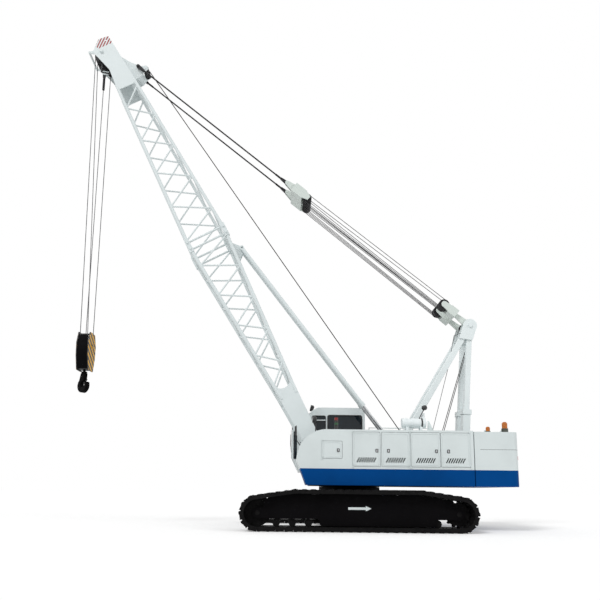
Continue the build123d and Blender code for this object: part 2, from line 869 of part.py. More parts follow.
with BuildPart() as spreader_sheaves:
    row = [sign * (28 + index * spreader_sheave_pitch + sheave_width / 2) for sign in (-1, 1) for index in range(4)]
    sheave_row(line_point(spreader_sheave, 0), row, spreader_sheave_radius, sheave_width, 40 + pin_clearance)
save(spreader_sheaves, "spreader_sheaves")

# Pendants: two ropes with a socket and an eye at each end, and the upper eye's pin
with BuildPart() as pendants:
    for sign in (-1, 1):
        y = sign * pendant_y
        for centre, toward in ((pendant_end, 1), (line_length, -1)):
            with BuildSketch(line_side(y + 25)):
                with BuildLine():
                    CenterArc((centre, 0), 50, 0, 360)
                    Line((centre + toward * 230, -28), (centre + toward * 230, 28))
                make_hull()
            extrude(amount=50)
            rod(line_point(centre + toward * 220, y), line_point(centre + toward * 420, y), 26)
        rod(line_point(pendant_end + 400, y), line_point(line_length - 400, y), pendant_radius)
        with BuildSketch(line_side(y + 26)):
            with Locations((pendant_end, 0)):
                Circle(eye_pin_radius + pin_clearance)
        extrude(amount=52, mode=Mode.SUBTRACT)
        inner = pendant_y - ear_y - head_plate / 2 - 6
        with BuildSketch(line_side(y + (40 if sign > 0 else inner))):
            with Locations((line_length, 0)):
                Circle(eye_pin_radius)
        extrude(amount=40 + inner)
save(pendants, "pendants")


# Boom: four chords joined by zigzag lacing, with plate feet and a box head
def boom_half_sizes(s):
    """Half depth and half width, to the chords' centres, at s along the boom."""
    if s < joint_s:
        share = (s - foot_top) / (joint_s - foot_top)
        return foot_half_depth + share * (joint_half_depth - foot_half_depth), foot_half_width
    share = (s - joint_s) / (head_start - joint_s)
    depth = joint_half_depth + share * (head_half_depth - joint_half_depth)
    return depth, foot_half_width + share * (head_half_width - foot_half_width)


def chord_point(s, front, right):
    depth, width = boom_half_sizes(s)
    return boom_vector(s, front * depth, right * width)


def lace_section(start, end, panels, radius):
    """Zigzag lacing on all four faces from start to end along the boom."""
    step = (end - start) / panels
    for index in range(panels):
        here = start + index * step
        there = here + step
        swing = 1 if index % 2 == 0 else -1
        for fixed in (-1, 1):
            rod(chord_point(here, swing, fixed), chord_point(there, -swing, fixed), radius)
            rod(chord_point(here, fixed, swing), chord_point(there, fixed, -swing), radius)


def end_frame(s, radius):
    for fixed in (-1, 1):
        rod(chord_point(s, -1, fixed), chord_point(s, 1, fixed), radius)
        rod(chord_point(s, fixed, -1), chord_point(s, fixed, 1), radius)


def joint_blocks(start, end):
    """Square end blocks of the four chords, with the heads of the joint's pins."""
    for front in (-1, 1):
        for right in (-1, 1):
            middle = chord_point((start + end) / 2, front, right)
            local = boom_side().to_local_coords(middle)
            with BuildSketch(boom_side(middle.Y + joint_block / 2)) as block:
                with Locations(((start + end) / 2, local.Y)):
                    Rectangle(end - start, joint_block)
            extrude(block.sketch, amount=joint_block)
            with BuildSketch(boom_side(middle.Y + joint_block / 2 + 25)) as pin:
                with Locations(((start + end) / 2, local.Y)):
                    Circle(joint_pin_radius)
            extrude(pin.sketch, amount=joint_block + 50)


base_end = joint_s - joint_gap
tip_start = joint_s + joint_gap
with BuildPart() as boom_base:
    for front in (-1, 1):
        for right in (-1, 1):
            rod(chord_point(foot_top - 250, front, right), chord_point(base_end - 80, front, right), chord_radius)
    lace_section(foot_top + 150, base_end - 150, 9, lacing_radius)
    end_frame(base_end - 110, lacing_radius + 6)
    joint_blocks(base_end - joint_block_length, base_end)
    for y in (-foot_half_width, foot_half_width):
        with BuildSketch(boom_side(y + 25)):
            with BuildLine():
                CenterArc((0, 0), foot_boss_radius, 0, 360)
                Line((foot_top + 120, -foot_half_depth - 45), (foot_top + 120, foot_half_depth + 45))
            make_hull()
            with Locations((foot_top + 220, 0)):
                Circle(240, mode=Mode.SUBTRACT)
            Circle(foot_pin_radius + pin_clearance, mode=Mode.SUBTRACT)
        extrude(amount=50)
        with BuildSketch(boom_side(y + foot_boss_width / 2)):
            Circle(foot_boss_radius - 70)
            Circle(foot_pin_radius + pin_clearance, mode=Mode.SUBTRACT)
        extrude(amount=foot_boss_width)
    for s in (420, 1150, 1750):
        rod(boom_vector(s, 0, -foot_half_width), boom_vector(s, 0, foot_half_width), 50)
    # Backstop bracket on two cross tubes between the rear chords
    for s in (stop_s - 330, stop_s + 370):
        rod(chord_point(s, -1, -1), chord_point(s, -1, 1), 45)
    for y in (-60, 60):
        with BuildSketch(boom_side(y + 12)):
            with BuildLine():
                CenterArc((stop_s, stop_t), 65, 0, 360)
                Line(
                    (stop_s - 330, -boom_half_sizes(stop_s - 330)[0]),
                    (stop_s + 370, -boom_half_sizes(stop_s + 370)[0]),
                )
            make_hull()
        extrude(amount=24)
    with BuildSketch(boom_side(72)):
        with Locations((stop_s, stop_t)):
            Circle(stop_pin_radius)
    extrude(amount=144)
save(boom_base, "boom_base")

# Outline of the head's side plates, along the boom from the sheave shaft and towards the front
head_outline = [
    (-1330, 300),
    (-620, 235),
    (-260, 330),
    (90, 425),
    (390, 110),
    (350, -180),
    (60, -200),
    (-1330, -305),
]
ear_outline = [
    (-180, -205),
    (-570, -440),
    (-790, -640),
    (-840, -790),
    (-960, -790),
    (-1000, -640),
    (-1080, -500),
    (-1130, -150),
    (-300, -150),
]
roller_s = head_s - 900
roller_t = -720
dead_s = head_s - dead_end_drop * boom_sin
dead_t = head_sheave_t + dead_end_drop * boom_cos
with BuildPart() as boom_tip:
    for front in (-1, 1):
        for right in (-1, 1):
            rod(chord_point(tip_start + 80, front, right), chord_point(head_start, front, right), chord_radius)
    lace_section(tip_start + 170, head_start - 260, 9, lacing_radius)
    end_frame(tip_start + 110, lacing_radius + 6)
    joint_blocks(tip_start, tip_start + joint_block_length)
    for y in (-head_plate_y, head_plate_y):
        with BuildSketch(boom_side(y + head_plate / 2)):
            with BuildLine():
                Polyline([(head_s + s, t) for s, t in head_outline], close=True)
            make_face()
            with Locations((head_s + jib_bore_s, jib_bore_t)):
                Circle(jib_bore_radius, mode=Mode.SUBTRACT)
        extrude(amount=head_plate)
    for y in (-ear_y, ear_y):
        with BuildSketch(boom_side(y + head_plate / 2)):
            with BuildLine():
                Polyline([(head_s + s, t) for s, t in ear_outline], close=True)
            make_face()
        extrude(amount=head_plate)
    # Cross tubes and a web plate between the side plates
    for s, t, radius, half in (
        (-1290, 262, 40, head_plate_y),
        (-1290, -262, 40, head_plate_y),
        (-1060, -200, 50, ear_y),
        (-330, -170, 45, head_plate_y),
    ):
        with BuildSketch(boom_side(half)):
            with Locations((head_s + s, t)):
                Circle(radius)
        extrude(amount=2 * half)
    for y in (-head_plate_y, ear_y - head_plate / 2):
        with BuildSketch(boom_side(y + head_plate_y - ear_y + head_plate / 2)):
            with Locations((head_s + 20, -190)):
                Rectangle(60, 20)
        extrude(amount=head_plate_y - ear_y + head_plate / 2)
    with BuildSketch(boom_side(head_plate_y + 60)):
        with Locations((head_s, head_sheave_t)):
            Circle(head_shaft_radius)
    extrude(amount=2 * head_plate_y + 120)
    with BuildSketch(boom_side(ear_y + 20)):
        with Locations((roller_s, roller_t)):
            Circle(30)
    extrude(amount=2 * ear_y + 40)
    # Bracket of the hoist rope's dead end
    for y in (-50, 26):
        with BuildSketch(boom_side(y + 24)):
            with BuildLine():
                CenterArc((dead_s, dead_t), 60, 0, 360)
                Line((head_s - 560, 190), (head_s - 520, 120))
            make_hull()
        extrude(amount=24)
    with BuildSketch(boom_side(head_plate_y)):
        with Locations((head_s - 545, 160)):
            Circle(38)
    extrude(amount=head_plate_y + 60)
    with BuildSketch(boom_side(60)):
        with Locations((dead_s, dead_t)):
            Circle(20)
    extrude(amount=120)
    # Rope guard rod ahead of the sheaves, on two arms
    for y in (-head_plate_y + head_plate / 2, head_plate_y - head_plate / 2 - 24):
        with BuildSketch(boom_side(y + 24)):
            with BuildLine():
                CenterArc((guard_rod_s, guard_rod_t), guard_rod_radius, 0, 360)
                Line((head_s - 40, 300), (head_s + 120, 300))
            make_hull()
        extrude(amount=24)
    with BuildSketch(boom_side(head_plate_y)):
        with Locations((guard_rod_s, guard_rod_t)):
            Circle(guard_rod_radius)
    extrude(amount=2 * head_plate_y)
save(boom_tip, "boom_tip")

head_x, head_z = boom_point(head_s, head_sheave_t)
with BuildPart() as head_sheaves:
    sheave_row(place(head_x, 0, head_z), (-150, -50, 50, 150), head_sheave_radius, 62, head_shaft_radius + pin_clearance)
save(head_sheaves, "head_sheaves")

roller_x, roller_height = boom_point(roller_s, roller_t)
with BuildPart() as guide_sheave:
    cross_pin(roller_x, roller_height, -ear_y + head_plate / 2 + 3, ear_y - head_plate / 2 - 3, 85)
    with BuildSketch(side(ear_y)):
        with Locations((roller_x, roller_height)):
            Circle(30 + pin_clearance)
    extrude(amount=2 * ear_y, mode=Mode.SUBTRACT)
save(guide_sheave, "guide_sheave")

# Dead end of the hoist rope, on its own pin under the sheaves
dead_end_y = 0
with BuildPart() as rope_socket:
    with BuildSketch(side(dead_end_y + 18)):
        with BuildLine():
            CenterArc((head_x, head_z - dead_end_drop), 48, 0, 360)
            Line((head_x - 34, head_z - dead_end_drop - 150), (head_x + 34, head_z - dead_end_drop - 150))
        make_hull()
        with Locations((head_x, head_z - dead_end_drop)):
            Circle(20 + pin_clearance, mode=Mode.SUBTRACT)
    extrude(amount=36)
    rod(
        place(head_x, dead_end_y, head_z - dead_end_drop - 140),
        place(head_x, dead_end_y, head_z - dead_end_drop - 520),
        34,
    )
save(rope_socket, "rope_socket")

# Overhoist weight: a ring round the rear fall, hung from the sheave shaft
ring_drop = 560
ring_y = -150
hanger_y = -238
with BuildPart() as overhoist_weight:
    with BuildSketch(side(hanger_y)):
        with Locations((head_x, head_z)):
            Circle(85)
            Circle(head_shaft_radius + pin_clearance, mode=Mode.SUBTRACT)
        with Locations((head_x, head_z - ring_drop / 2 - 35)):
            Rectangle(40, ring_drop - 60)
    extrude(amount=24)
    rod(place(head_x, hanger_y - 12, head_z - ring_drop), place(head_x + 190, ring_y - 35, head_z - ring_drop), 16)
    with BuildSketch(level(head_z - ring_drop - 40)):
        with Locations((head_x + head_sheave_radius, ring_y)):
            Circle(70)
            Circle(42, mode=Mode.SUBTRACT)
    extrude(amount=80)
save(overhoist_weight, "overhoist_weight")

# Hook block: two cheeks, fore and aft, with two sheaves between them and the hook's crosshead below
block_top = head_z - falls_drop
block_axle_drop = 360
crosshead_drop = 940
block_plane = Plane(origin=place(head_x, 0, block_top), x_dir=(0, 1, 0), z_dir=(1, 0, 0))
cheek_outline = [
    (-190, 0),
    (190, 0),
    (300, -300),
    (285, -640),
    (180, -1030),
    (-180, -1030),
    (-285, -640),
    (-300, -300),
]
with BuildPart() as hook_block:
    for offset_x in (-block_half - block_cheek, block_half):
        with BuildSketch(block_plane.offset(offset_x)):
            with BuildLine():
                Polyline(*cheek_outline, close=True)
            make_face()
            fillet(vertices(), 40)
        extrude(amount=block_cheek)
    with BuildSketch(block_plane.offset(-block_half - block_cheek - 15)):
        with Locations((0, -block_axle_drop)):
            Circle(55)
    extrude(amount=2 * (block_half + block_cheek + 15))
    # Spacers between the cheeks, at the top corners and below the sheaves
    with BuildSketch(block_plane.offset(-block_half - 5)):
        with Locations((-140, -60), (140, -60), (-215, -640), (215, -640)):
            Circle(26)
    extrude(amount=2 * block_half + 10)
    with BuildSketch(block_plane.offset(-block_half - 5)):
        with Locations((0, -crosshead_drop)):
            RectangleRounded(250, 119, 30)
    extrude(amount=2 * block_half + 10)
    with BuildSketch(level(block_top - 1010)):
        with Locations((head_x, 0)):
            Circle(shank_radius + pin_clearance)
    extrude(amount=140, mode=Mode.SUBTRACT)
save(hook_block, "hook_block")

with BuildPart() as hook_sheaves:
    for x in (-block_sheave_x, block_sheave_x):
        centre = place(head_x + x, 0, block_top - block_axle_drop)
        with BuildSketch(Plane(origin=centre, x_dir=(1, 0, 0), z_dir=(0, -1, 0))) as profile:
            groove_wheel(block_sheave_radius, 62, 55 + pin_clearance)
        revolve(profile.sketch, axis=Axis(centre, (1, 0, 0)))
save(hook_sheaves, "hook_sheaves")

hook_top = block_top - block_height - 5
hook_turn = -36
hook_thick = 120
hook_plane = Plane(
    origin=place(head_x, 0, hook_top),
    x_dir=(cos(radians(hook_turn)), sin(radians(hook_turn)), 0),
    z_dir=(sin(radians(hook_turn)), -cos(radians(hook_turn)), 0),
)
with BuildPart() as hook:
    with BuildSketch(hook_plane.offset(-hook_thick / 2)):
        with Locations((0, -372)):
            Circle(190)
        with BuildLine():
            Polyline((-70, -40), (70, -40), (60, -260), (-150, -300), close=True)
        make_face()
        with Locations((20, -345)):
            Circle(85, mode=Mode.SUBTRACT)
        with Locations(Location((130, -240, 0), (0, 0, 42))):
            Rectangle(220, 95, mode=Mode.SUBTRACT)
        fillet(vertices(), 12)
    extrude(amount=hook_thick)
    faces_apart = hook.faces().sort_by(Axis(hook_plane.origin, hook_plane.z_dir))
    chamfer(faces_apart[0].edges() + faces_apart[-1].edges(), 8)
    with BuildSketch(Plane(hook_plane.origin)):
        Circle(75)
    extrude(amount=-70)
    with BuildSketch(Plane(hook_plane.origin)):
        Circle(shank_radius)
    extrude(amount=shank_length)
    with BuildSketch(Plane(hook_plane.origin).offset(shank_length - 50)):
        Circle(62)
    extrude(amount=50)
save(hook, "hook")

# Backstops: a tube pinned to the boom slides over a rod pinned to the deck
stop_x, stop_z = boom_point(stop_s, stop_t)
stop_length = hypot(stop_x - stop_foot_x, stop_z - stop_foot_z)
stop_run = Vector(stop_x - stop_foot_x, 0, stop_z - stop_foot_z) / stop_length
with BuildPart() as backstop_rods:
    for y in (-stop_y, stop_y):
        foot = place(stop_foot_x, y, stop_foot_z)
        rod(foot + stop_run * 50, foot + stop_run * stop_rod_length, stop_rod_radius)
        with BuildSketch(side(y + 30)):
            with Locations((stop_foot_x, stop_foot_z)):
                Circle(62)
                Circle(stop_pin_radius + pin_clearance, mode=Mode.SUBTRACT)
        extrude(amount=60)
save(backstop_rods, "backstop_rods")

with BuildPart() as backstop_tubes:
    for y in (-stop_y, stop_y):
        top = place(stop_x, y, stop_z)
        start = top - stop_run * stop_tube_length
        with BuildSketch(Plane(origin=start, z_dir=stop_run)):
            Circle(stop_tube_radius)
            Circle(stop_rod_radius + pin_clearance, mode=Mode.SUBTRACT)
        extrude(amount=stop_tube_length - 60)
        with BuildSketch(Plane(origin=start, z_dir=stop_run)):
            Circle(stop_tube_radius + 16)
            Circle(stop_rod_radius + pin_clearance, mode=Mode.SUBTRACT)
        extrude(amount=110)
        with BuildSketch(side(y + 40)):
            with Locations((stop_x, stop_z)):
                Circle(62)
                Circle(stop_pin_radius + pin_clearance, mode=Mode.SUBTRACT)
        extrude(amount=80)
save(backstop_tubes, "backstop_tubes")


# Winches on the deck between the houses
def build_winch(x, z, drum_radius, flange_radius, half_width, label):
    with BuildPart() as winch:
        cross_pin(x, z, -half_width, half_width, drum_radius)
        for y in (-half_width, half_width - 25):
            cross_pin(x, z, y, y + 25, flange_radius)
        for y in (-half_width - 90, half_width + 50):
            with BuildSketch(side(y + 40)):
                with BuildLine():
                    CenterArc((x, z), flange_radius * 0.6, 0, 360)
                    Line((x - flange_radius, deck_top), (x + flange_radius, deck_top))
                make_hull()
            extrude(amount=40)
        cross_pin(x, z, -half_width - 60, half_width + 60, drum_radius * 0.5)
    save(winch, label)


build_winch(1750, 1860, 230, 360, 300, "main_winch")
build_winch(2450, 1760, 170, 280, 240, "boom_winch")

# Muffler lying on the left house's roof
with BuildPart() as muffler:
    with BuildSketch(Plane(origin=place(1180, -1120, house_top + 225), z_dir=(1, 0, 0))):
        Circle(115)
    extrude(amount=580)
    for x in (1300, 1640):
        with BuildSketch(level(house_top + seat_gap)):
            with Locations((x, -1120)):
                Rectangle(60, 160)
        extrude(amount=150)
save(muffler, "muffler")

# Orange beacons on the counterweight, a domed lens on a round base
with BuildPart() as beacons:
    for x, y, radius, base, height in ((3205, -1350, 62, 40, 150), (3650, -1250, 80, 120, 280)):
        foot = place(x, y, tail_top + seat_gap)
        with BuildSketch(Plane(origin=foot, x_dir=(1, 0, 0), z_dir=(0, -1, 0))) as profile:
            Polygon(
                (0, 0),
                (radius, 0),
                (radius, base),
                (radius * 0.8, base),
                (radius * 0.8, height - radius * 0.4),
                (radius * 0.45, height),
                (0, height),
                align=None,
            )
        revolve(profile.sketch, axis=Axis(foot, (0, 0, 1)))
save(beacons, "beacons")

with BuildPart() as alarm_tower:
    with BuildSketch(level(house_top + seat_gap)):
        with Locations((-420, -1100)):
            Circle(45)
    extrude(amount=340)
save(alarm_tower, "alarm_tower")


# Cab: a hollow body with window openings, its glass, seat, console, lamps and door
def cab_outline(inset):
    with BuildLine() as outline:
        Polyline(
            (-1300 + inset, house_floor + inset),
            (-1500 + inset, 1850),
            (-1480 + inset, 2560),
            (-930 + inset * 0.8, 3110 - inset),
            (-760, cab_top - inset),
            (cab_rear - inset, cab_top - inset),
            (cab_rear - inset, house_floor + inset),
            close=True,
        )
    make_face(outline.edges())


# Openings of the cab's side walls: front, rear, lower and upper edge, then the wall's right face
side_windows = [
    (-920, -560, 2080, 2960, cab_inner_y + cab_wall),
    (-490, 450, 2080, 2980, cab_inner_y + cab_wall),
    (20, 460, 2080, 2980, cab_outer_y),
]
cab_middle = (cab_inner_y + cab_outer_y) / 2
windscreen_width = 700
windscreen_height = 1500
windscreen_reach = 900
windscreen_plane = Plane(origin=place(-1600, cab_middle, 2250), x_dir=(0, 1, 0), z_dir=(1, 0, 0))
rear_window_width = 660
rear_window_height = 700
rear_window_plane = Plane(origin=place(cab_rear - 100, cab_middle, 2600), x_dir=(0, 1, 0), z_dir=(1, 0, 0))
with BuildPart() as cab_shell:
    with BuildSketch(side(cab_outer_y)):
        cab_outline(0)
    extrude(amount=cab_outer_y - cab_inner_y)
    with BuildSketch(side(cab_outer_y - cab_wall)):
        cab_outline(cab_wall)
    extrude(amount=cab_outer_y - cab_inner_y - 2 * cab_wall, mode=Mode.SUBTRACT)
    # Side windows, then the door's opening
    for front, rear, low, high, y in side_windows:
        with BuildSketch(side(y + 5)):
            with Locations(((front + rear) / 2, (low + high) / 2)):
                RectangleRounded(rear - front, high - low, 50)
        extrude(amount=cab_wall + 10, mode=Mode.SUBTRACT)
    with BuildSketch(side(cab_outer_y + 5)):
        with BuildLine():
            Polyline(
                (door_front, door_low),
                (door_rear, door_low),
                (door_rear, door_high),
                (-860, door_high),
                (door_front, 2700),
                close=True,
            )
        make_face()
    extrude(amount=cab_wall + 10, mode=Mode.SUBTRACT)
    # Windscreen and rear window
    with BuildSketch(windscreen_plane):
        RectangleRounded(windscreen_width, windscreen_height, 60)
    extrude(amount=windscreen_reach, mode=Mode.SUBTRACT)
    with BuildSketch(rear_window_plane):
        RectangleRounded(rear_window_width, rear_window_height, 60)
    extrude(amount=200, mode=Mode.SUBTRACT)
    hinge_lugs(door_rear - door_gap, cab_outer_y, 1, door_low + door_gap, door_high - door_gap)
save(cab_shell, "cab_shell")

# Flat panes in the side and rear openings, and a windscreen that follows the nose
pane = 6
pane_inset = 15
with BuildPart() as cab_glass:
    with BuildSketch(side(cab_outer_y)):
        cab_outline(pane_inset)
    extrude(amount=cab_outer_y - cab_inner_y)
    with BuildSketch(side(cab_outer_y)):
        cab_outline(pane_inset + pane)
    extrude(amount=cab_outer_y - cab_inner_y, mode=Mode.SUBTRACT)
    with BuildSketch(windscreen_plane):
        RectangleRounded(windscreen_width - 2 * seat_gap, windscreen_height - 2 * seat_gap, 60)
    extrude(amount=windscreen_reach, mode=Mode.INTERSECT)
    for front, rear, low, high, y in side_windows:
        with BuildSketch(side(y - pane_inset)):
            with Locations(((front + rear) / 2, (low + high) / 2)):
                RectangleRounded(rear - front - 2 * seat_gap, high - low - 2 * seat_gap, 50)
        extrude(amount=pane)
    with BuildSketch(rear_window_plane.offset(100 - pane_inset - pane)):
        RectangleRounded(rear_window_width - 2 * seat_gap, rear_window_height - 2 * seat_gap, 60)
    extrude(amount=pane)
save(cab_glass, "cab_glass")

door_window_x = -560
door_window_z = 2480
door_window_width = 820
door_window_height = 800
with BuildPart() as cab_door:
    with BuildSketch(side(cab_outer_y)):
        with BuildLine():
            Polyline(
                (door_front + door_gap, door_low + door_gap),
                (door_rear - door_gap, door_low + door_gap),
                (door_rear - door_gap, door_high - door_gap),
                (-860, door_high - door_gap),
                (door_front + door_gap, 2700 - door_gap),
                close=True,
            )
        make_face()
        with Locations((door_window_x, door_window_z)):
            RectangleRounded(door_window_width, door_window_height, 60, mode=Mode.SUBTRACT)
    extrude(amount=36)
    hinge_pin_and_leaf(door_rear - door_gap, cab_outer_y, 1, door_low + door_gap, door_high - door_gap, -1)
save(cab_door, "cab_door")

with BuildPart() as cab_door_glass:
    with BuildSketch(side(cab_outer_y - pane_inset)):
        with Locations((door_window_x, door_window_z)):
            RectangleRounded(door_window_width - 2 * seat_gap, door_window_height - 2 * seat_gap, 60)
    extrude(amount=pane)
save(cab_door_glass, "cab_door_glass")

with BuildPart() as cab_seat:
    with BuildSketch(side((cab_inner_y + cab_outer_y) / 2 + 240)):
        with BuildLine():
            Polyline(
                (-560, 1860),
                (-60, 1860),
                (60, 2560),
                (-60, 2600),
                (-190, 2000),
                (-560, 2000),
                close=True,
            )
        make_face()
    extrude(amount=480)
    with BuildSketch(level(house_floor + cab_wall + seat_gap)):
        with Locations((-280, (cab_inner_y + cab_outer_y) / 2)):
            Rectangle(360, 360)
    extrude(amount=1860 - house_floor - cab_wall - seat_gap)
save(cab_seat, "cab_seat")
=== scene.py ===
import bpy
import bmesh
import json
from math import cos, pi, radians, sin
from mathutils import Matrix, Vector


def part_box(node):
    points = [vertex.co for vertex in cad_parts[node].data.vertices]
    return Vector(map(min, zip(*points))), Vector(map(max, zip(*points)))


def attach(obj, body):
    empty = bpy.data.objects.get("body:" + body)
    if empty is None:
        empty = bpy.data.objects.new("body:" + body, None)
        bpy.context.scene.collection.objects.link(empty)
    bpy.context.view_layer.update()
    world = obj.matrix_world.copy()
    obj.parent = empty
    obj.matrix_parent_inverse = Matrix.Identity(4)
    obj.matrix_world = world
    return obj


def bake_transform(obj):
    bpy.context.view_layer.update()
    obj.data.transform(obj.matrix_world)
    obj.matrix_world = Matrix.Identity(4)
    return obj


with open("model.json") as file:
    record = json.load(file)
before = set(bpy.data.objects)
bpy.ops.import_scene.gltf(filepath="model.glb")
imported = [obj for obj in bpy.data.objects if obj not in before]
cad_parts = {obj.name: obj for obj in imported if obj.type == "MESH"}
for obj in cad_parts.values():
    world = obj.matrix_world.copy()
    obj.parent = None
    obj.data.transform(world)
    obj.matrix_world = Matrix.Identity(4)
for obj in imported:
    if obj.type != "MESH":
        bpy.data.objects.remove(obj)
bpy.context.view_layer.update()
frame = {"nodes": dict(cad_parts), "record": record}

cadNodes = frame["nodes"]
joints = {joint["name"]: joint for joint in frame["record"]["behaviour"]["joints"]}


def jointPoint(name):
    return Vector(joints[name]["pos_m"])


# The crane faces -X, its left side is -Y, and all lengths are in metres
alongX, alongY, alongZ = 0, 1, 2
slewX = jointPoint("slew").x
footPin = jointPoint("luff")
headAxle = jointPoint("hoist_line_pivot")
gantryPin = jointPoint("bridle_follow")
lineRun = Vector(joints["luffing_line"]["axis"])
lineUp = Vector((lineRun.z, 0, -lineRun.x))
boomAngle = radians(62.2)
boomRun = Vector((-cos(boomAngle), 0, sin(boomAngle)))
boomFront = Vector((-sin(boomAngle), 0, -cos(boomAngle)))


def at(x, y, z):  # a place measured from the slewing axis
    return Vector((slewX + x, y, z))


def onLine(reach, up, y):  # along the luffing line from the gantry head
    return gantryPin + lineRun * reach + lineUp * up + Vector((0, y, 0))


def middleOf(node):  # the middle of a CAD node's box
    low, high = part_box(node)
    return (Vector(low) + Vector(high)) / 2


def divided(start, end, count):
    return [start.lerp(end, index / count) for index in range(count + 1)]


def arcPoints(centre, radius, y, first, last, steps):  # round a sheave, in the XZ plane, in degrees
    points = []
    for index in range(steps + 1):
        angle = radians(first + (last - first) * index / steps)
        points.append(Vector((centre.x + radius * cos(angle), y, centre.z + radius * sin(angle))))
    return points


# Modelling helpers
def deselectAll():
    if bpy.context.object and bpy.context.object.mode != 'OBJECT':
        bpy.ops.object.mode_set(mode='OBJECT')
    bpy.ops.object.select_all(action='DESELECT')


def only(obj):
    deselectAll()
    obj.select_set(True)
    bpy.context.view_layer.objects.active = obj


def startBox(size, place):
    deselectAll()
    bpy.ops.mesh.primitive_cube_add(size=1, location=place)
    obj = bpy.context.object
    obj.scale = size
    bpy.ops.object.transform_apply(location=False, rotation=False, scale=True)
    return obj


def boxOf(piece):
    return startBox(piece["size"], at(*piece["place"]))


def startCylinder(radius, depth, place, turn=(0, 0, 0), sides=32):
    deselectAll()
    bpy.ops.mesh.primitive_cylinder_add(
        vertices=sides, radius=radius, depth=depth, location=place, rotation=turn)
    return bpy.context.object


def beginEdit(obj, kind):  # edit mode with nothing selected
    only(obj)
    bpy.ops.object.mode_set(mode='EDIT')
    bpy.ops.mesh.select_mode(type=kind)
    bpy.ops.mesh.select_all(action='DESELECT')
    return bmesh.from_edit_mesh(obj.data)


def endEdit():
    bpy.ops.object.mode_set(mode='OBJECT')


def pickFaces(obj, test):  # leaves obj in edit mode with the faces that pass selected
    mesh = beginEdit(obj, 'FACE')
    mesh.normal_update()
    for face in mesh.faces:
        if test(face.calc_center_median(), face.normal):
            face.select_set(True)
    bmesh.update_edit_mesh(obj.data)


squareOn = 0.9  # how far a normal or edge has to follow an axis


def pickFacing(obj, axis, sign=0):  # faces that look one way along an axis, or both ways
    pickFaces(obj, lambda centre, normal:
              normal[axis] * sign > squareOn if sign else abs(normal[axis]) > squareOn)


def drawOut(x, y, z):
    bpy.ops.mesh.extrude_region_move(TRANSFORM_OT_translate={"value": (x, y, z)})


def bevelAll(obj, width, segments=2):
    only(obj)
    modifier = obj.modifiers.new("Bevel", 'BEVEL')
    modifier.width = width
    modifier.segments = segments
    modifier.limit_method = 'ANGLE'
    bpy.ops.object.modifier_apply(modifier=modifier.name)


def roundCorners(obj, axis, corner, segments=4):
    mesh = beginEdit(obj, 'EDGE')
    for edge in mesh.edges:
        first, second = edge.verts
        if abs((first.co - second.co).normalized()[axis]) > squareOn:
            edge.select_set(True)
    bmesh.update_edit_mesh(obj.data)
    bpy.ops.mesh.bevel(offset=corner, segments=segments)
    endEdit()


def openThrough(obj, axis, rim):  # inset both faces and bridge the hole between them
    pickFacing(obj, axis)
    bpy.ops.mesh.inset(thickness=rim)
    bpy.ops.mesh.bridge_edge_loops()
    endEdit()


def narrowTop(obj, share, shift):  # taper a plate's top edge along X and move it
    pickFacing(obj, alongZ, 1)
    bpy.ops.transform.resize(value=(share, 1, 1))
    if shift:
        bpy.ops.transform.translate(value=(shift, 0, 0))
    endEdit()


def ringFrame(size, place, axis, rim, corner):
    obj = startBox(size, place)
    roundCorners(obj, axis, corner)
    openThrough(obj, axis, rim)
    bevelAll(obj, min(size[axis], rim) * 0.3, 1)
    return obj


def dishedPlate(size, axis, sign, corner, rim, depth):  # a rounded plate with a sunk middle
    obj = startBox(size, (0, 0, 0))
    roundCorners(obj, axis, corner)
    pickFacing(obj, axis, sign)
    bpy.ops.mesh.inset(thickness=rim)
    bpy.ops.mesh.inset(thickness=rim * 0.4, depth=-depth)
    endEdit()
    bevelAll(obj, rim * 0.15, 1)
    return obj


def joinAll(objs):
    deselectAll()
    for obj in objs:
        obj.select_set(True)
    bpy.context.view_layer.objects.active = objs[0]
    bpy.ops.object.join()
    return bpy.context.object


def copiesOf(master, places):  # copies with their own meshes, in place of the master
    copies = []
    for place in places:
        new = master.copy()
        new.data = master.data.copy()
        bpy.context.scene.collection.objects.link(new)
        new.location = place
        copies.append(new)
    bpy.data.objects.remove(master)
    return copies


def settle(obj, name, material, body=None, smooth=35):  # the last step of every new piece
    only(obj)
    bpy.ops.object.transform_apply(location=True, rotation=True, scale=True)
    obj.name = name
    obj.data.name = name
    obj.data.materials.clear()
    obj.data.materials.append(material)
    if smooth:
        bpy.ops.object.shade_smooth_by_angle(angle=radians(smooth))
    if body:
        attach(obj, body)
    return obj


def repeated(master, places, name, material, body):
    for index, copy in enumerate(copiesOf(master, places)):
        settle(copy, "%s%d" % (name, index + 1), material, body)


def tube(name, runs, radius, material, body=None, sides=2):  # sides is the bevel resolution
    curve = bpy.data.curves.new(name, 'CURVE')
    curve.dimensions = '3D'
    curve.bevel_depth = radius
    curve.bevel_resolution = sides
    curve.use_fill_caps = True
    for run in runs:
        spline = curve.splines.new('POLY')
        spline.points.add(len(run) - 1)
        for point, place in zip(spline.points, run):
            point.co = (*place, 1)
    obj = bpy.data.objects.new(name, curve)
    bpy.context.scene.collection.objects.link(obj)
    only(obj)
    bpy.ops.object.convert(target='MESH')
    return settle(bpy.context.object, name, material, body, smooth=60)


def bentRod(name, rod, material, body="upper", sides=2):  # one run through points from the slewing axis
    tube(name, [[at(*point) for point in rod["points"]]], rod["rod"], material, body, sides)


# Material helpers
def newMaterial(name):
    material = bpy.data.materials.new(name)
    material.use_nodes = True
    tree = material.node_tree
    shader = tree.nodes["Principled BSDF"]
    coords = tree.nodes.new("ShaderNodeTexCoord")
    return material, tree, shader, coords.outputs["Object"]


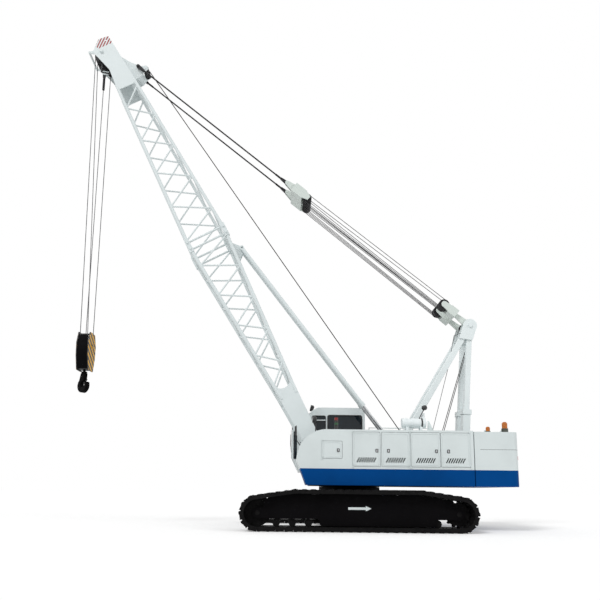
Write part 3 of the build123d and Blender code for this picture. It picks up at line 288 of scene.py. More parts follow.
def addNoise(tree, coords, scale, detail=4):
    noise = tree.nodes.new("ShaderNodeTexNoise")
    noise.inputs["Scale"].default_value = scale
    noise.inputs["Detail"].default_value = detail
    noise.inputs["Roughness"].default_value = 0.55
    tree.links.new(coords, noise.inputs["Vector"])
    return noise.outputs["Fac"]


def addRamp(tree, fac, stops):
    ramp = tree.nodes.new("ShaderNodeValToRGB")
    ramp.color_ramp.elements[0].position = stops[0][0]
    ramp.color_ramp.elements[0].color = (*stops[0][1], 1)
    ramp.color_ramp.elements[1].position = stops[-1][0]
    ramp.color_ramp.elements[1].color = (*stops[-1][1], 1)
    for position, colour in stops[1:-1]:
        element = ramp.color_ramp.elements.new(position)
        element.color = (*colour, 1)
    tree.links.new(fac, ramp.inputs["Fac"])
    return ramp.outputs["Color"]


def addMottle(tree, fac, dark, light):  # the usual blend of two colours over a noise
    return addRamp(tree, fac, [(0.3, dark), (0.7, light)])


def setColour(tree, shader, colour):
    tree.links.new(colour, shader.inputs["Base Color"])


def setRoughness(tree, shader, coords, scale, low, high):
    ranger = tree.nodes.new("ShaderNodeMapRange")
    ranger.inputs["From Min"].default_value = 0.3
    ranger.inputs["From Max"].default_value = 0.7
    ranger.inputs["To Min"].default_value = low
    ranger.inputs["To Max"].default_value = high
    tree.links.new(addNoise(tree, coords, scale), ranger.inputs["Value"])
    tree.links.new(ranger.outputs["Result"], shader.inputs["Roughness"])


def addBump(tree, shader, height, strength, distance):
    bump = tree.nodes.new("ShaderNodeBump")
    bump.inputs["Strength"].default_value = strength
    bump.inputs["Distance"].default_value = distance
    tree.links.new(height, bump.inputs["Height"])
    tree.links.new(bump.outputs["Normal"], shader.inputs["Normal"])


def addGlow(shader, weight):
    shader.inputs["Subsurface Weight"].default_value = weight
    shader.inputs["Subsurface Scale"].default_value = 0.02


def addMix(tree, fac, first, second):
    mix = tree.nodes.new("ShaderNodeMix")
    mix.data_type = 'RGBA'
    tree.links.new(fac, mix.inputs["Factor"])
    tree.links.new(first, mix.inputs["A"])
    if isinstance(second, tuple):
        mix.inputs["B"].default_value = (*second, 1)
    else:
        tree.links.new(second, mix.inputs["B"])
    return mix.outputs["Result"]


def addMath(tree, operation, *values):
    node = tree.nodes.new("ShaderNodeMath")
    node.operation = operation
    for socket, value in zip(node.inputs, values):
        if isinstance(value, (int, float)):
            socket.default_value = value
        else:
            tree.links.new(value, socket)
    return node.outputs[0]


def addAlong(tree, coords, direction, origin):  # how far a point is from origin along direction
    dot = tree.nodes.new("ShaderNodeVectorMath")
    dot.operation = 'DOT_PRODUCT'
    tree.links.new(coords, dot.inputs[0])
    dot.inputs[1].default_value = direction
    return addMath(tree, 'SUBTRACT', dot.outputs["Value"], Vector(origin).dot(Vector(direction)))


def addStripes(tree, distance, pitch):
    wave = addMath(tree, 'PINGPONG', distance, pitch / 2)
    return addMath(tree, 'GREATER_THAN', wave, pitch / 4)


def addSplit(tree, coords):  # the x, y and z of a point
    separate = tree.nodes.new("ShaderNodeSeparateXYZ")
    tree.links.new(coords, separate.inputs[0])
    return separate.outputs


def shade(colour, factor):
    return tuple(min(1.0, channel * factor) for channel in colour)


# Enamels: base colour, how much it varies, roughness, orange peel, shine and clear coat
enamels = {
    "whitePaint": {"colour": (0.655, 0.715, 0.715), "vary": 0.05, "rough": (0.3, 0.45),
                   "peel": 0.05, "shine": 0.3, "coat": 0.1},
    "boomPaint": {"colour": (0.68, 0.74, 0.745), "vary": 0.05, "rough": (0.35, 0.5),
                  "peel": 0.06, "shine": 0.3, "coat": 0.08},
    # A lighter copy of the white paint: painted light on the cab, the gantry and the window bar
    "whiteWithPaintedLight": {"colour": (0.74, 0.8, 0.805), "vary": 0.05, "rough": (0.3, 0.45),
                  "peel": 0.05, "shine": 0.3, "coat": 0.1},
    # A darker, greener copy of the white paint: painted shade on the bridle and the spreader
    "whiteWithPaintedShade": {"colour": (0.62, 0.68, 0.645), "vary": 0.08, "rough": (0.35, 0.5),
                  "peel": 0.08, "shine": 0.3, "coat": 0.08},
    "bluePaint": {"colour": (0.0002, 0.056, 0.23), "vary": 0.1, "rough": (0.35, 0.5),
                  "peel": 0.05, "shine": 0.04, "coat": 0.0},
    "blackPaint": {"colour": (0.002, 0.0017, 0.0022), "vary": 0.4, "rough": (0.5, 0.7),
                   "peel": 0.12, "shine": 0.05, "coat": 0.0},
    "silverPaint": {"colour": (0.78, 0.83, 0.84), "vary": 0.12, "rough": (0.35, 0.5),
                    "peel": 0.1, "shine": 0.4, "coat": 0.05},
}
enamelNoise = {"clouds": 1.6, "sheen": 9, "peel": 140}


def enamel(name):
    settings = enamels[name]
    material, tree, shader, coords = newMaterial(name)
    colour = settings["colour"]
    clouds = addNoise(tree, coords, enamelNoise["clouds"], detail=6)
    tint = addRamp(tree, clouds, [(0.3, shade(colour, 1 - settings["vary"])), (0.5, colour),
                                  (0.75, shade(colour, 1 + settings["vary"] * 0.5))])
    setColour(tree, shader, tint)
    setRoughness(tree, shader, coords, enamelNoise["sheen"], *settings["rough"])
    shader.inputs["Specular IOR Level"].default_value = settings["shine"]
    shader.inputs["Coat Weight"].default_value = settings["coat"]
    shader.inputs["Coat Roughness"].default_value = 0.2
    peel = addNoise(tree, coords, enamelNoise["peel"], detail=2)
    addBump(tree, shader, peel, settings["peel"], 0.002)
    return material


# Bare and oiled metals
metals = {
    "trackSteel": {"dark": (0.0015, 0.0014, 0.0018), "light": (0.007, 0.0065, 0.0065),
                   "metal": 0.0, "rough": (0.5, 0.8), "grain": 60, "bump": 0.35},
    "darkSteel": {"dark": (0.008, 0.008, 0.009), "light": (0.035, 0.035, 0.037),
                  "metal": 0.4, "rough": (0.35, 0.6), "grain": 90, "bump": 0.15},
    "bareSteel": {"dark": (0.32, 0.33, 0.34), "light": (0.55, 0.56, 0.57),
                  "metal": 1.0, "rough": (0.22, 0.4), "grain": 160, "bump": 0.08},
    "wireRope": {"dark": (0.03, 0.03, 0.032), "light": (0.16, 0.16, 0.165),
                 "metal": 0.7, "rough": (0.4, 0.6), "grain": 220, "bump": 0.3},
    "oiledRope": {"dark": (0.008, 0.007, 0.006), "light": (0.045, 0.04, 0.035),
                  "metal": 0.3, "rough": (0.45, 0.7), "grain": 220, "bump": 0.3},
}


def metal(name):
    settings = metals[name]
    material, tree, shader, coords = newMaterial(name)
    tint = addRamp(tree, addNoise(tree, coords, 7, detail=8),
                   [(0.3, settings["dark"]), (0.75, settings["light"])])
    setColour(tree, shader, tint)
    shader.inputs["Metallic"].default_value = settings["metal"]
    shader.inputs["Specular IOR Level"].default_value = 0.1 + 0.4 * settings["metal"]
    setRoughness(tree, shader, coords, 24, *settings["rough"])
    addBump(tree, shader, addNoise(tree, coords, settings["grain"], detail=3), settings["bump"], 0.003)
    return material


# Red stripes on the end of the head's side plates, from start along the boom and behind front
stripes = {"red": (0.3, 0.013, 0.014), "pitch": 0.1, "start": 13.16, "front": 0.26, "tilt": 0.9}


def boomHeadPaint():
    material = paints["boomPaint"].copy()
    material.name = "boomHeadPaint"
    tree = material.node_tree
    shader = tree.nodes["Principled BSDF"]
    base = shader.inputs["Base Color"].links[0].from_socket
    coords = next(node for node in tree.nodes if node.type == 'TEX_COORD').outputs["Object"]
    along = addAlong(tree, coords, boomRun, footPin)
    across = addAlong(tree, coords, boomFront, footPin)
    diagonal = addAlong(tree, coords, boomRun + boomFront * stripes["tilt"], footPin)
    zone = addMath(tree, 'MULTIPLY', addMath(tree, 'GREATER_THAN', along, stripes["start"]),
                   addMath(tree, 'LESS_THAN', across, stripes["front"]))
    painted = addMath(tree, 'MULTIPLY', addStripes(tree, diagonal, stripes["pitch"]), zone)
    setColour(tree, shader, addMix(tree, painted, base, stripes["red"]))
    return material


# Yellow and black stripes on the outer faces of the hook block's cheeks, past face from its middle
hazard = {"yellow": ((0.6, 0.32, 0.016), (0.75, 0.4, 0.02)), "yellowClouds": 12,
          "black": ((0.008, 0.008, 0.009), (0.02, 0.02, 0.02)), "blackClouds": 30,
          "pitch": 0.15, "slope": 1.5, "face": 0.1605, "rough": (0.4, 0.6), "sheen": 20, "peel": 120}


def hazardPaint():
    material, tree, shader, coords = newMaterial("hazardPaint")
    diagonal = addAlong(tree, coords, Vector((0, 1, hazard["slope"])).normalized(), (0, 0, 0))
    yellow = addMottle(tree, addNoise(tree, coords, hazard["yellowClouds"]), *hazard["yellow"])
    black = addMottle(tree, addNoise(tree, coords, hazard["blackClouds"]), *hazard["black"])
    offset = addMath(tree, 'SUBTRACT', addSplit(tree, coords)["X"], headAxle.x)
    side = addMath(tree, 'GREATER_THAN', addMath(tree, 'ABSOLUTE', offset), hazard["face"])
    painted = addMath(tree, 'MULTIPLY', addStripes(tree, diagonal, hazard["pitch"]), side)
    setColour(tree, shader, addMix(tree, painted, black, yellow))
    setRoughness(tree, shader, coords, hazard["sheen"], *hazard["rough"])
    addBump(tree, shader, addNoise(tree, coords, hazard["peel"]), 0.1, 0.002)
    return material


glass = {"dark": (0.006, 0.014, 0.02), "light": (0.02, 0.035, 0.045), "smears": 3, "sheen": 6,
         "rough": (0.03, 0.09), "clear": 0.4, "bend": 1.45, "shine": 0.3}


def glassMaterial():
    material, tree, shader, coords = newMaterial("tintedGlass")
    smears = addNoise(tree, coords, glass["smears"], detail=5)
    tint = addRamp(tree, smears, [(0.3, glass["dark"]), (0.8, glass["light"])])
    setColour(tree, shader, tint)
    setRoughness(tree, shader, coords, glass["sheen"], *glass["rough"])
    shader.inputs["Transmission Weight"].default_value = glass["clear"]
    shader.inputs["IOR"].default_value = glass["bend"]
    shader.inputs["Specular IOR Level"].default_value = glass["shine"]
    return material


# Plastics: two colours, roughness, the scale of the grain and how much light goes in
plastics = {
    "seatVinyl": {"colours": ((0.015, 0.016, 0.018), (0.03, 0.031, 0.034)), "rough": (0.45, 0.6),
                  "grain": 300, "glow": 0},
    "blackPlastic": {"colours": ((0.01, 0.01, 0.011), (0.025, 0.025, 0.026)), "rough": (0.4, 0.6),
                     "grain": 400, "glow": 0},
    "redLens": {"colours": ((0.6, 0.01, 0.01), (0.75, 0.03, 0.02)), "rough": (0.15, 0.3),
                "grain": 60, "glow": 0.2},
    "lampLens": {"colours": ((0.6, 0.62, 0.62), (0.8, 0.82, 0.82)), "rough": (0.08, 0.2),
                 "grain": 80, "glow": 0},
}
plasticNoise = {"clouds": 14, "sheen": 40}


def plastic(name):
    settings = plastics[name]
    material, tree, shader, coords = newMaterial(name)
    tint = addMottle(tree, addNoise(tree, coords, plasticNoise["clouds"]), *settings["colours"])
    setColour(tree, shader, tint)
    setRoughness(tree, shader, coords, plasticNoise["sheen"], *settings["rough"])
    addBump(tree, shader, addNoise(tree, coords, settings["grain"], detail=2), 0.12, 0.001)
    addGlow(shader, settings["glow"])
    return material


# The alarm tower: black foot, green lens within greenHalf of greenZ, red lens above redZ
tower = {"foot": ((0.01, 0.01, 0.011), (0.03, 0.03, 0.032)), "clouds": 30,
         "green": ((0.003, 0.06, 0.015), (0.02, 0.13, 0.03)), "greenZ": 2.53, "greenHalf": 0.022,
         "red": ((0.14, 0.006, 0.006), (0.26, 0.012, 0.01)), "redZ": 2.615, "rough": (0.2, 0.4)}


def towerPaint():
    material, tree, shader, coords = newMaterial("towerPaint")
    height = addSplit(tree, coords)["Z"]
    clouds = addNoise(tree, coords, tower["clouds"])
    foot, green, red = (addMottle(tree, clouds, *tower[part]) for part in ("foot", "green", "red"))
    lower = addMix(tree, addMath(tree, 'COMPARE', height, tower["greenZ"], tower["greenHalf"]), foot, green)
    upper = addMath(tree, 'GREATER_THAN', height, tower["redZ"])
    setColour(tree, shader, addMix(tree, upper, lower, red))
    setRoughness(tree, shader, coords, plasticNoise["sheen"], *tower["rough"])
    return material


# Amber domes over dark feet: a foot ends at footZ, and rearStep higher on the rear beacon
beacon = {"amber": ((0.4, 0.1, 0.008), (0.55, 0.17, 0.012)), "clouds": 22, "glow": 0.15,
          "foot": ((0.035, 0.04, 0.03), (0.09, 0.1, 0.08)), "footZ": 2.361,
          "rearStep": 0.08, "rearFrom": 3.45, "rough": (0.15, 0.35)}


def beaconPlastic():
    material, tree, shader, coords = newMaterial("beaconPlastic")
    places = addSplit(tree, coords)
    clouds = addNoise(tree, coords, beacon["clouds"])
    foot, amber = (addMottle(tree, clouds, *beacon[part]) for part in ("foot", "amber"))
    rear = addMath(tree, 'GREATER_THAN', places["X"], slewX + beacon["rearFrom"])
    limit = addMath(tree, 'ADD', addMath(tree, 'MULTIPLY', rear, beacon["rearStep"]), beacon["footZ"])
    above = addMath(tree, 'GREATER_THAN', places["Z"], limit)
    setColour(tree, shader, addMix(tree, above, foot, amber))
    setRoughness(tree, shader, coords, plasticNoise["sheen"], *beacon["rough"])
    addGlow(shader, beacon["glow"])
    return material


paints = {name: enamel(name) for name in enamels}
steels = {name: metal(name) for name in metals}
tintedGlass = glassMaterial()
seatVinyl, blackPlastic, redLens, lampLens = (plastic(name) for name in plastics)
print("materials ready")

houseDoors = ["house_door_%d" % number for number in range(1, 7)] + ["house_hatch"]
nodeMaterials = {
    paints["whitePaint"]: ["house_left", "house_right", "counterweight_upper", *houseDoors],
    paints["bluePaint"]: ["side_decks", "counterweight_lower"],
    # The cab and the gantry take the lighter copy of the white paint, which is painted light
    paints["whiteWithPaintedLight"]: ["cab_shell", "cab_door", "gantry_legs", "gantry_struts", "gantry_head"],
    # The bridle and the spreader take the darker copy of the white paint, which is painted shade
    paints["whiteWithPaintedShade"]: ["bridle", "spreader"],
    paints["blackPaint"]: ["carbody", "side_frame_left", "side_frame_right", "travel_drives",
                           "revolving_frame", "deck_brackets", "hook"],
    paints["boomPaint"]: ["boom_base", "backstop_tubes"],
    boomHeadPaint(): ["boom_tip"],
    hazardPaint(): ["hook_block"],
    paints["silverPaint"]: ["muffler"],
    steels["trackSteel"]: ["track_left", "track_right", "idlers", "sprockets", "track_rollers",
                           "slew_ring"],
    steels["darkSteel"]: ["engine", "gantry_sheaves", "main_winch", "boom_winch", "head_sheaves",
                          "guide_sheave", "bridle_sheaves", "spreader_sheaves", "pendants",
                          "overhoist_weight", "rope_socket", "hook_sheaves"],
    steels["bareSteel"]: ["deck_pins", "backstop_rods"],
    seatVinyl: ["cab_seat"],
    beaconPlastic(): ["beacons"],
    towerPaint(): ["alarm_tower"],
    tintedGlass: ["cab_glass", "cab_door_glass"],
}
for material, names in nodeMaterials.items():
    for name in names:
        data = cadNodes[name].data
        data.materials.clear()
        data.materials.append(material)
print("node materials ready")

# Hoist falls: two ropes over the head sheaves, and the dead end, come down to the block.
# near and far are the ropes' places across the head, blockHalf their place along the block's axle
hoistRope = {"radius": 0.0095, "headRadius": 0.236, "blockRadius": 0.207, "near": -0.15, "far": 0.05,
             "blockHalf": 0.1, "intoSocket": 0.02, "steps": 24, "wrapSteps": 14}
blockZ = middleOf("hook_sheaves").z
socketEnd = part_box("rope_socket")[0][2] + hoistRope["intoSocket"]
wheel, half, side = (hoistRope[key] for key in ("headRadius", "blockHalf", "blockRadius"))
tops = [(-wheel, hoistRope["near"], headAxle.z), (-wheel, hoistRope["far"], headAxle.z),
        (wheel, hoistRope["near"], headAxle.z), (0, 0, socketEnd)]
feet = [(-half, -side, blockZ), (half, -side, blockZ), (half, side, blockZ), (-half, side, blockZ)]
axleX = Vector((headAxle.x, 0, 0))
falls = [divided(axleX + Vector(top), axleX + Vector(foot), hoistRope["steps"])
         for top, foot in zip(tops, feet)]
hoistFalls = tube("hoistFalls", falls, hoistRope["radius"], steels["wireRope"])
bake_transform(hoistFalls)
headWraps = [arcPoints(headAxle, hoistRope["headRadius"], y, 0, 180, hoistRope["wrapSteps"])
             for y in (hoistRope["near"], hoistRope["far"])]
tube("headRopeWraps", headWraps, hoistRope["radius"], steels["wireRope"], "boom")

# Luffing falls: an upper and a lower layer between the sheaves of bridle and spreader.
# Bridle sheaves stand in two groups, bridleY either side, and spreader sheaves out from spreaderY
luffRope = {"radius": 0.009, "bridleRadius": 0.1295, "spreaderRadius": 0.1095, "bridleY": 0.28,
            "bridlePitch": 0.058, "spreaderY": 0.056, "spreaderPitch": 0.085, "perSide": 4,
            "lowerOnly": (1, 2), "steps": 20}
bridleReach = (middleOf("bridle_sheaves") - gantryPin).dot(lineRun)
spreaderReach = (middleOf("spreader_sheaves") - gantryPin).dot(lineRun)
midSheave = (luffRope["perSide"] - 1) / 2
luffRuns = []
for side in (-1, 1):
    for index in range(luffRope["perSide"]):
        lowY = side * luffRope["bridleY"] + (index - midSheave) * luffRope["bridlePitch"]
        outward = index if side > 0 else luffRope["perSide"] - 1 - index
        highY = side * (luffRope["spreaderY"] + outward * luffRope["spreaderPitch"])
        for layer in (-1, 1):
            if layer > 0 and index in luffRope["lowerOnly"]:
                continue
            luffRuns.append(divided(onLine(bridleReach, layer * luffRope["bridleRadius"], lowY),
                                    onLine(spreaderReach, layer * luffRope["spreaderRadius"], highY),
                                    luffRope["steps"]))
luffingFalls = tube("luffingFalls", luffRuns, luffRope["radius"], steels["wireRope"])
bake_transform(luffingFalls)

# The two drums: their axle, the radius of the rope's turns and half the length they cover
drums = {
    "mainDrumRope": {"x": 1.75, "z": 1.86, "radius": 0.2405, "half": 0.265, "turns": 23, "rope": 0.0105},
    "boomDrumRope": {"x": 2.45, "z": 1.76, "radius": 0.18, "half": 0.205, "turns": 19, "rope": 0.0095},
}

# Main hoist rope: from the main drum over the guide sheave to the head
mainRope = {"radius": 0.0125, "drumRadius": 0.25, "offX": -0.12, "offY": 0.1, "guideRadius": 0.085,
            "steps": 30, "headSteps": 6}
mainDrum = drums["mainDrumRope"]
drumPoint = at(mainDrum["x"] + mainRope["offX"], mainRope["offY"], mainDrum["z"] + mainRope["drumRadius"])
guidePoint = middleOf("guide_sheave") + boomFront * -mainRope["guideRadius"]
mainHoistRope = tube("mainHoistRope", [divided(drumPoint, guidePoint, mainRope["steps"])],
                     mainRope["radius"], steels["oiledRope"])
# No one joint turns this rope about its drum: the backstop turns and lengthens nearly as it does
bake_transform(mainHoistRope)
headPoint = headAxle + boomFront * -hoistRope["headRadius"] + Vector((0, hoistRope["far"], 0))
tube("headLeadRope", [divided(guidePoint, headPoint, mainRope["headSteps"])],
     mainRope["radius"], steels["oiledRope"], "boom")

turnSteps = 20
for name, drum in drums.items():
    points = []
    for index in range(drum["turns"] * turnSteps + 1):
        angle = 2 * pi * index / turnSteps
        across = -drum["half"] + 2 * drum["half"] * index / (drum["turns"] * turnSteps)
        points.append(at(drum["x"] + drum["radius"] * cos(angle), across,
                         drum["z"] + drum["radius"] * sin(angle)))
    tube(name, [points], drum["rope"], steels["oiledRope"], "upper")

# Lines that come down from the gantry: the boom winch's two ropes and a thin signal line
boomDrum = drums["boomDrumRope"]
liftRope = {"radius": 0.0095, "wheel": 0.158, "ys": (-0.06, 0.06), "spread": 1.6, "drumFront": 0.19,
            "arc": (150, -8), "arcSteps": 12, "steps": 8}
for index, y in enumerate(liftRope["ys"]):
    wrap = arcPoints(gantryPin, liftRope["wheel"], y, *liftRope["arc"], liftRope["arcSteps"])
    drumEnd = at(boomDrum["x"] - liftRope["drumFront"], y * liftRope["spread"], boomDrum["z"])
    tube("boomHoistRope%d" % (index + 1), [wrap + divided(wrap[-1], drumEnd, liftRope["steps"])[1:]],
         liftRope["radius"], steels["oiledRope"], "upper")
signalLine = {"rod": 0.007, "points": [(3.06, -0.33, 5.12), (2.777, -0.3, 5.004), (2.607, -0.27, 4.159),
                                       (2.173, -0.2, 2.518), (2.1, -0.18, 2.0)]}
bentRod("gantrySignalLine", signalLine, steels["wireRope"])
print("ropes ready")

# House doors: a pressed frame just inside each edge, and a sunk latch near the free end.
# x from and to, z from and to, the latch's x, and the side: -1 is left
doorRow = (1.48, 2.28)
doorSizes = {
    "house_door_1": {"x": (-0.08, 0.56), "z": doorRow, "latch": 0.484, "side": -1},
    "house_door_2": {"x": (0.60, 1.25), "z": doorRow, "latch": 0.754, "side": -1},
    "house_door_3": {"x": (1.29, 1.97), "z": doorRow, "latch": 1.88, "side": -1},
    "house_door_4": {"x": (1.99, 2.67), "z": doorRow, "latch": 2.163, "side": -1},
    "house_hatch": {"x": (-0.80, -0.33), "z": (1.66, 2.06), "latch": -0.42, "side": -1},
    "house_door_5": {"x": (0.76, 1.59), "z": doorRow, "latch": 1.50, "side": 1},
    "house_door_6": {"x": (1.63, 2.46), "z": doorRow, "latch": 1.72, "side": 1},
}
doorFrame = {"face": 1.6315, "margin": 0.028, "rim": 0.011, "corner": 0.026, "thick": 0.009}
latch = {"plate": (0.062, 0.014, 0.082), "corner": 0.012, "rim": 0.007, "depth": 0.006,
         "y": 1.634, "z": 1.848}
paddle = {"size": (0.03, 0.01, 0.046), "lip": (0.006, -0.008), "y": 1.636, "z": 1.852, "edge": 0.003}
for name, door in doorSizes.items():
    side = door["side"]
    width = door["x"][1] - door["x"][0] - 2 * doorFrame["margin"]
    tall = door["z"][1] - door["z"][0] - 2 * doorFrame["margin"]
    middle = at(sum(door["x"]) / 2, side * doorFrame["face"], sum(door["z"]) / 2)
    ring = ringFrame((width, doorFrame["thick"], tall), middle, alongY, doorFrame["rim"], doorFrame["corner"])
    settle(ring, name + "Frame", paints["whitePaint"], name)
    plate = dishedPlate(latch["plate"], alongY, side, latch["corner"], latch["rim"], latch["depth"])
    plate.location = at(door["latch"], side * latch["y"], latch["z"])
    settle(plate, name + "Latch", blackPlastic, name)
    grip = startBox(paddle["size"], (0, 0, 0))
    pickFacing(grip, alongZ, -1)
    drawOut(0, side * paddle["lip"][0], paddle["lip"][1])
    endEdit()
    bevelAll(grip, paddle["edge"])
    grip.location = at(door["latch"], side * paddle["y"], paddle["z"])
    settle(grip, name + "Paddle", steels["bareSteel"], name)
print("doors ready")

# Muffler: clamp bands, the outlet's lip and a triangular stay behind it
muffler = {"y": -1.12, "z": 2.565, "radius": 0.115}
bands = {"x": (1.29, 1.42, 1.66), "proud": 0.008, "width": 0.035, "rim": 0.01, "black": 2, "sides": 40}
for index, x in enumerate(bands["x"]):
    band = startCylinder(muffler["radius"] + bands["proud"], bands["width"],
                         at(x, muffler["y"], muffler["z"]), (0, pi / 2, 0), bands["sides"])
    openThrough(band, alongZ, bands["rim"])
    settle(band, "mufflerBand%d" % (index + 1),
           blackPlastic if index == bands["black"] else paints["silverPaint"], "upper")
outlet = {"x": 1.70, "z": 2.74, "radius": 0.045, "long": 0.14, "wall": 0.006, "depth": 0.1, "sides": 28}
lip = startCylinder(outlet["radius"], outlet["long"], at(outlet["x"], muffler["y"], outlet["z"]),
                    sides=outlet["sides"])
pickFacing(lip, alongZ, 1)
bpy.ops.mesh.inset(thickness=outlet["wall"])
drawOut(0, 0, -outlet["depth"])
endEdit()
settle(lip, "exhaustLip", paints["silverPaint"], "upper")
stay = {"size": (0.16, 0.02, 0.278), "place": (1.88, -1.14, 2.481), "top": 0.22, "shift": -0.05,
        "edge": 0.004}
stayPlate = boxOf(stay)
narrowTop(stayPlate, stay["top"], stay["shift"])
bevelAll(stayPlate, stay["edge"])
settle(stayPlate, "triangularStay", paints["whitePaint"], "upper")

# Lamps: a shell with a drawn-in back and a sunk rim, and a crowned lens in it.
# Shares are of the lamp's radius
lampShell = {"depth": 0.07, "back": 0.035, "backShare": 0.45, "rimShare": 0.14, "sink": 0.012, "edge": 0.003}
lampGlass = {"share": 0.84, "depth": 0.012, "forward": 0.027, "rimShare": 0.35, "crown": 0.006, "edge": 0.002}
lampArm = {"rod": 0.012, "points": [(1.60, -1.15, 2.66), (1.66, -1.2, 2.80), (1.714, -1.25, 2.90)]}
bentRod("roofLampArm", lampArm, blackPlastic)
lampShapes = [
    {"name": "roofLamp", "place": (1.714, -1.25, 2.93), "turn": (90, 0, 200), "radius": 0.06},
    {"name": "workLamp", "place": (-0.972, -1.2, 2.62), "turn": (82, 0, -90), "radius": 0.085},
    {"name": "cabLampRight", "place": (-0.93, 1.42, 3.235), "turn": (82, 0, -90), "radius": 0.06},
    {"name": "cabLampLeft", "place": (-0.93, 1.02, 3.235), "turn": (82, 0, -90), "radius": 0.06},
]


def placeLamp(obj, shape, name, material):
    obj.rotation_euler = [radians(value) for value in shape["turn"]]
    obj.location = at(*shape["place"])
    settle(obj, name, material, "upper")


for shape in lampShapes:
    shell = startCylinder(shape["radius"], lampShell["depth"], (0, 0, 0))
    pickFacing(shell, alongZ, -1)
    drawOut(0, 0, -lampShell["back"])
    bpy.ops.transform.resize(value=(lampShell["backShare"], lampShell["backShare"], 1))
    endEdit()
    pickFacing(shell, alongZ, 1)
    bpy.ops.mesh.inset(thickness=shape["radius"] * lampShell["rimShare"])
    drawOut(0, 0, -lampShell["sink"])
    endEdit()
    bevelAll(shell, lampShell["edge"])
    placeLamp(shell, shape, shape["name"], blackPlastic)
    lens = startCylinder(shape["radius"] * lampGlass["share"], lampGlass["depth"],
                         (0, 0, lampGlass["forward"]))
    pickFacing(lens, alongZ, 1)
    bpy.ops.mesh.inset(thickness=shape["radius"] * lampGlass["rimShare"])
    bpy.ops.transform.translate(value=(0, 0, lampGlass["crown"]))
    endEdit()
    bevelAll(lens, lampGlass["edge"], 1)
    only(lens)
    bpy.ops.object.transform_apply(location=True)
    placeLamp(lens, shape, shape["name"] + "Lens", lampLens)

# What carries the work lamp and the two lamps on the cab
workPost = {"rod": 0.014, "points": [(-0.93, -1.2, 2.30), (-0.93, -1.2, 2.5), (-0.95, -1.2, 2.60)]}
cabBar = {"rod": 0.01, "points": [(-0.90, 0.9, 3.155), (-0.90, 0.92, 3.185), (-0.90, 1.52, 3.185),
                                  (-0.90, 1.54, 3.155)]}
bentRod("workLampPost", workPost, blackPlastic)
bentRod("cabLampBar", cabBar, blackPlastic)
print("roof fittings ready")

# Cab windows: a rubber ring round each pane and a bar across the front side window
rubber = {"over": 0.035, "thick": 0.009, "rim": 0.024, "corner": 0.06}
gaskets = [
    {"x": (-0.92, -0.56), "z": (2.08, 2.96), "y": 0.797, "body": "upper"},
    {"x": (-0.49, 0.45), "z": (2.08, 2.98), "y": 0.797, "body": "upper"},
    {"x": (0.02, 0.46), "z": (2.08, 2.98), "y": 1.643, "body": "upper"},
    {"x": (-0.97, -0.15), "z": (2.08, 2.88), "y": 1.643, "body": "cab_door"},
]
for index, gasket in enumerate(gaskets):
    size = (gasket["x"][1] - gasket["x"][0] + rubber["over"], rubber["thick"],
            gasket["z"][1] - gasket["z"][0] + rubber["over"])
    ring = ringFrame(size, at(sum(gasket["x"]) / 2, gasket["y"], sum(gasket["z"]) / 2),
                     alongY, rubber["rim"], rubber["corner"])
    settle(ring, "windowRubber%d" % (index + 1), blackPlastic, gasket["body"])
rearPane = {"size": (rubber["thick"], 0.695, 0.735), "place": (0.543, 1.22, 2.60), "corner": 0.07}
rearRubber = ringFrame(rearPane["size"], at(*rearPane["place"]), alongX, rubber["rim"], rearPane["corner"])
settle(rearRubber, "windowRubberRear", blackPlastic, "upper")
bar = {"size": (0.375, 0.012, 0.028), "place": (-0.74, 0.794, 2.845), "rim": 0.006, "proud": 0.002}
windowBar = boxOf(bar)
pickFacing(windowBar, alongY, -1)
bpy.ops.mesh.inset(thickness=bar["rim"], depth=bar["proud"])
endEdit()
# The bar takes the lighter copy of the white paint, which is painted light
settle(windowBar, "cabWindowBar", paints["whiteWithPaintedLight"], "upper")

# Cab nose: a dark panel and a tapered vent on its left side, the wiper on the windscreen
nosePanel = {"size": (0.095, 0.006, 0.78), "place": (-1.3925, 0.7975, 2.15), "corner": 0.035,
             "rim": 0.012, "proud": 0.0015}
panel = boxOf(nosePanel)
roundCorners(panel, alongY, nosePanel["corner"])
pickFacing(panel, alongY, -1)
bpy.ops.mesh.inset(thickness=nosePanel["rim"], depth=nosePanel["proud"])
endEdit()
settle(panel, "noseSidePanel", tintedGlass, "upper")
noseVent = {"size": (0.15, 0.006, 0.21), "place": (-1.19, 0.7975, 2.31), "top": 0.1, "shift": 0.06,
            "corner": 0.008}
vent = boxOf(noseVent)
narrowTop(vent, noseVent["top"], noseVent["shift"])
roundCorners(vent, alongY, noseVent["corner"])
settle(vent, "noseVent", blackPlastic, "upper")
wiper = {"points": [(-1.492, 1.22, 1.95), (-1.518, 1.14, 2.2), (-1.513, 1.07, 2.46)], "rod": 0.008,
         "size": (0.014, 0.016, 0.56), "place": (-1.505, 1.06, 2.30), "ends": (0.6, 0.5, 1), "edge": 0.003}
bentRod("wiperArm", wiper, blackPlastic)
blade = boxOf(wiper)
pickFacing(blade, alongZ)
bpy.ops.transform.resize(value=wiper["ends"])
endEdit()
bevelAll(blade, wiper["edge"])
settle(blade, "wiperBlade", blackPlastic, "upper")

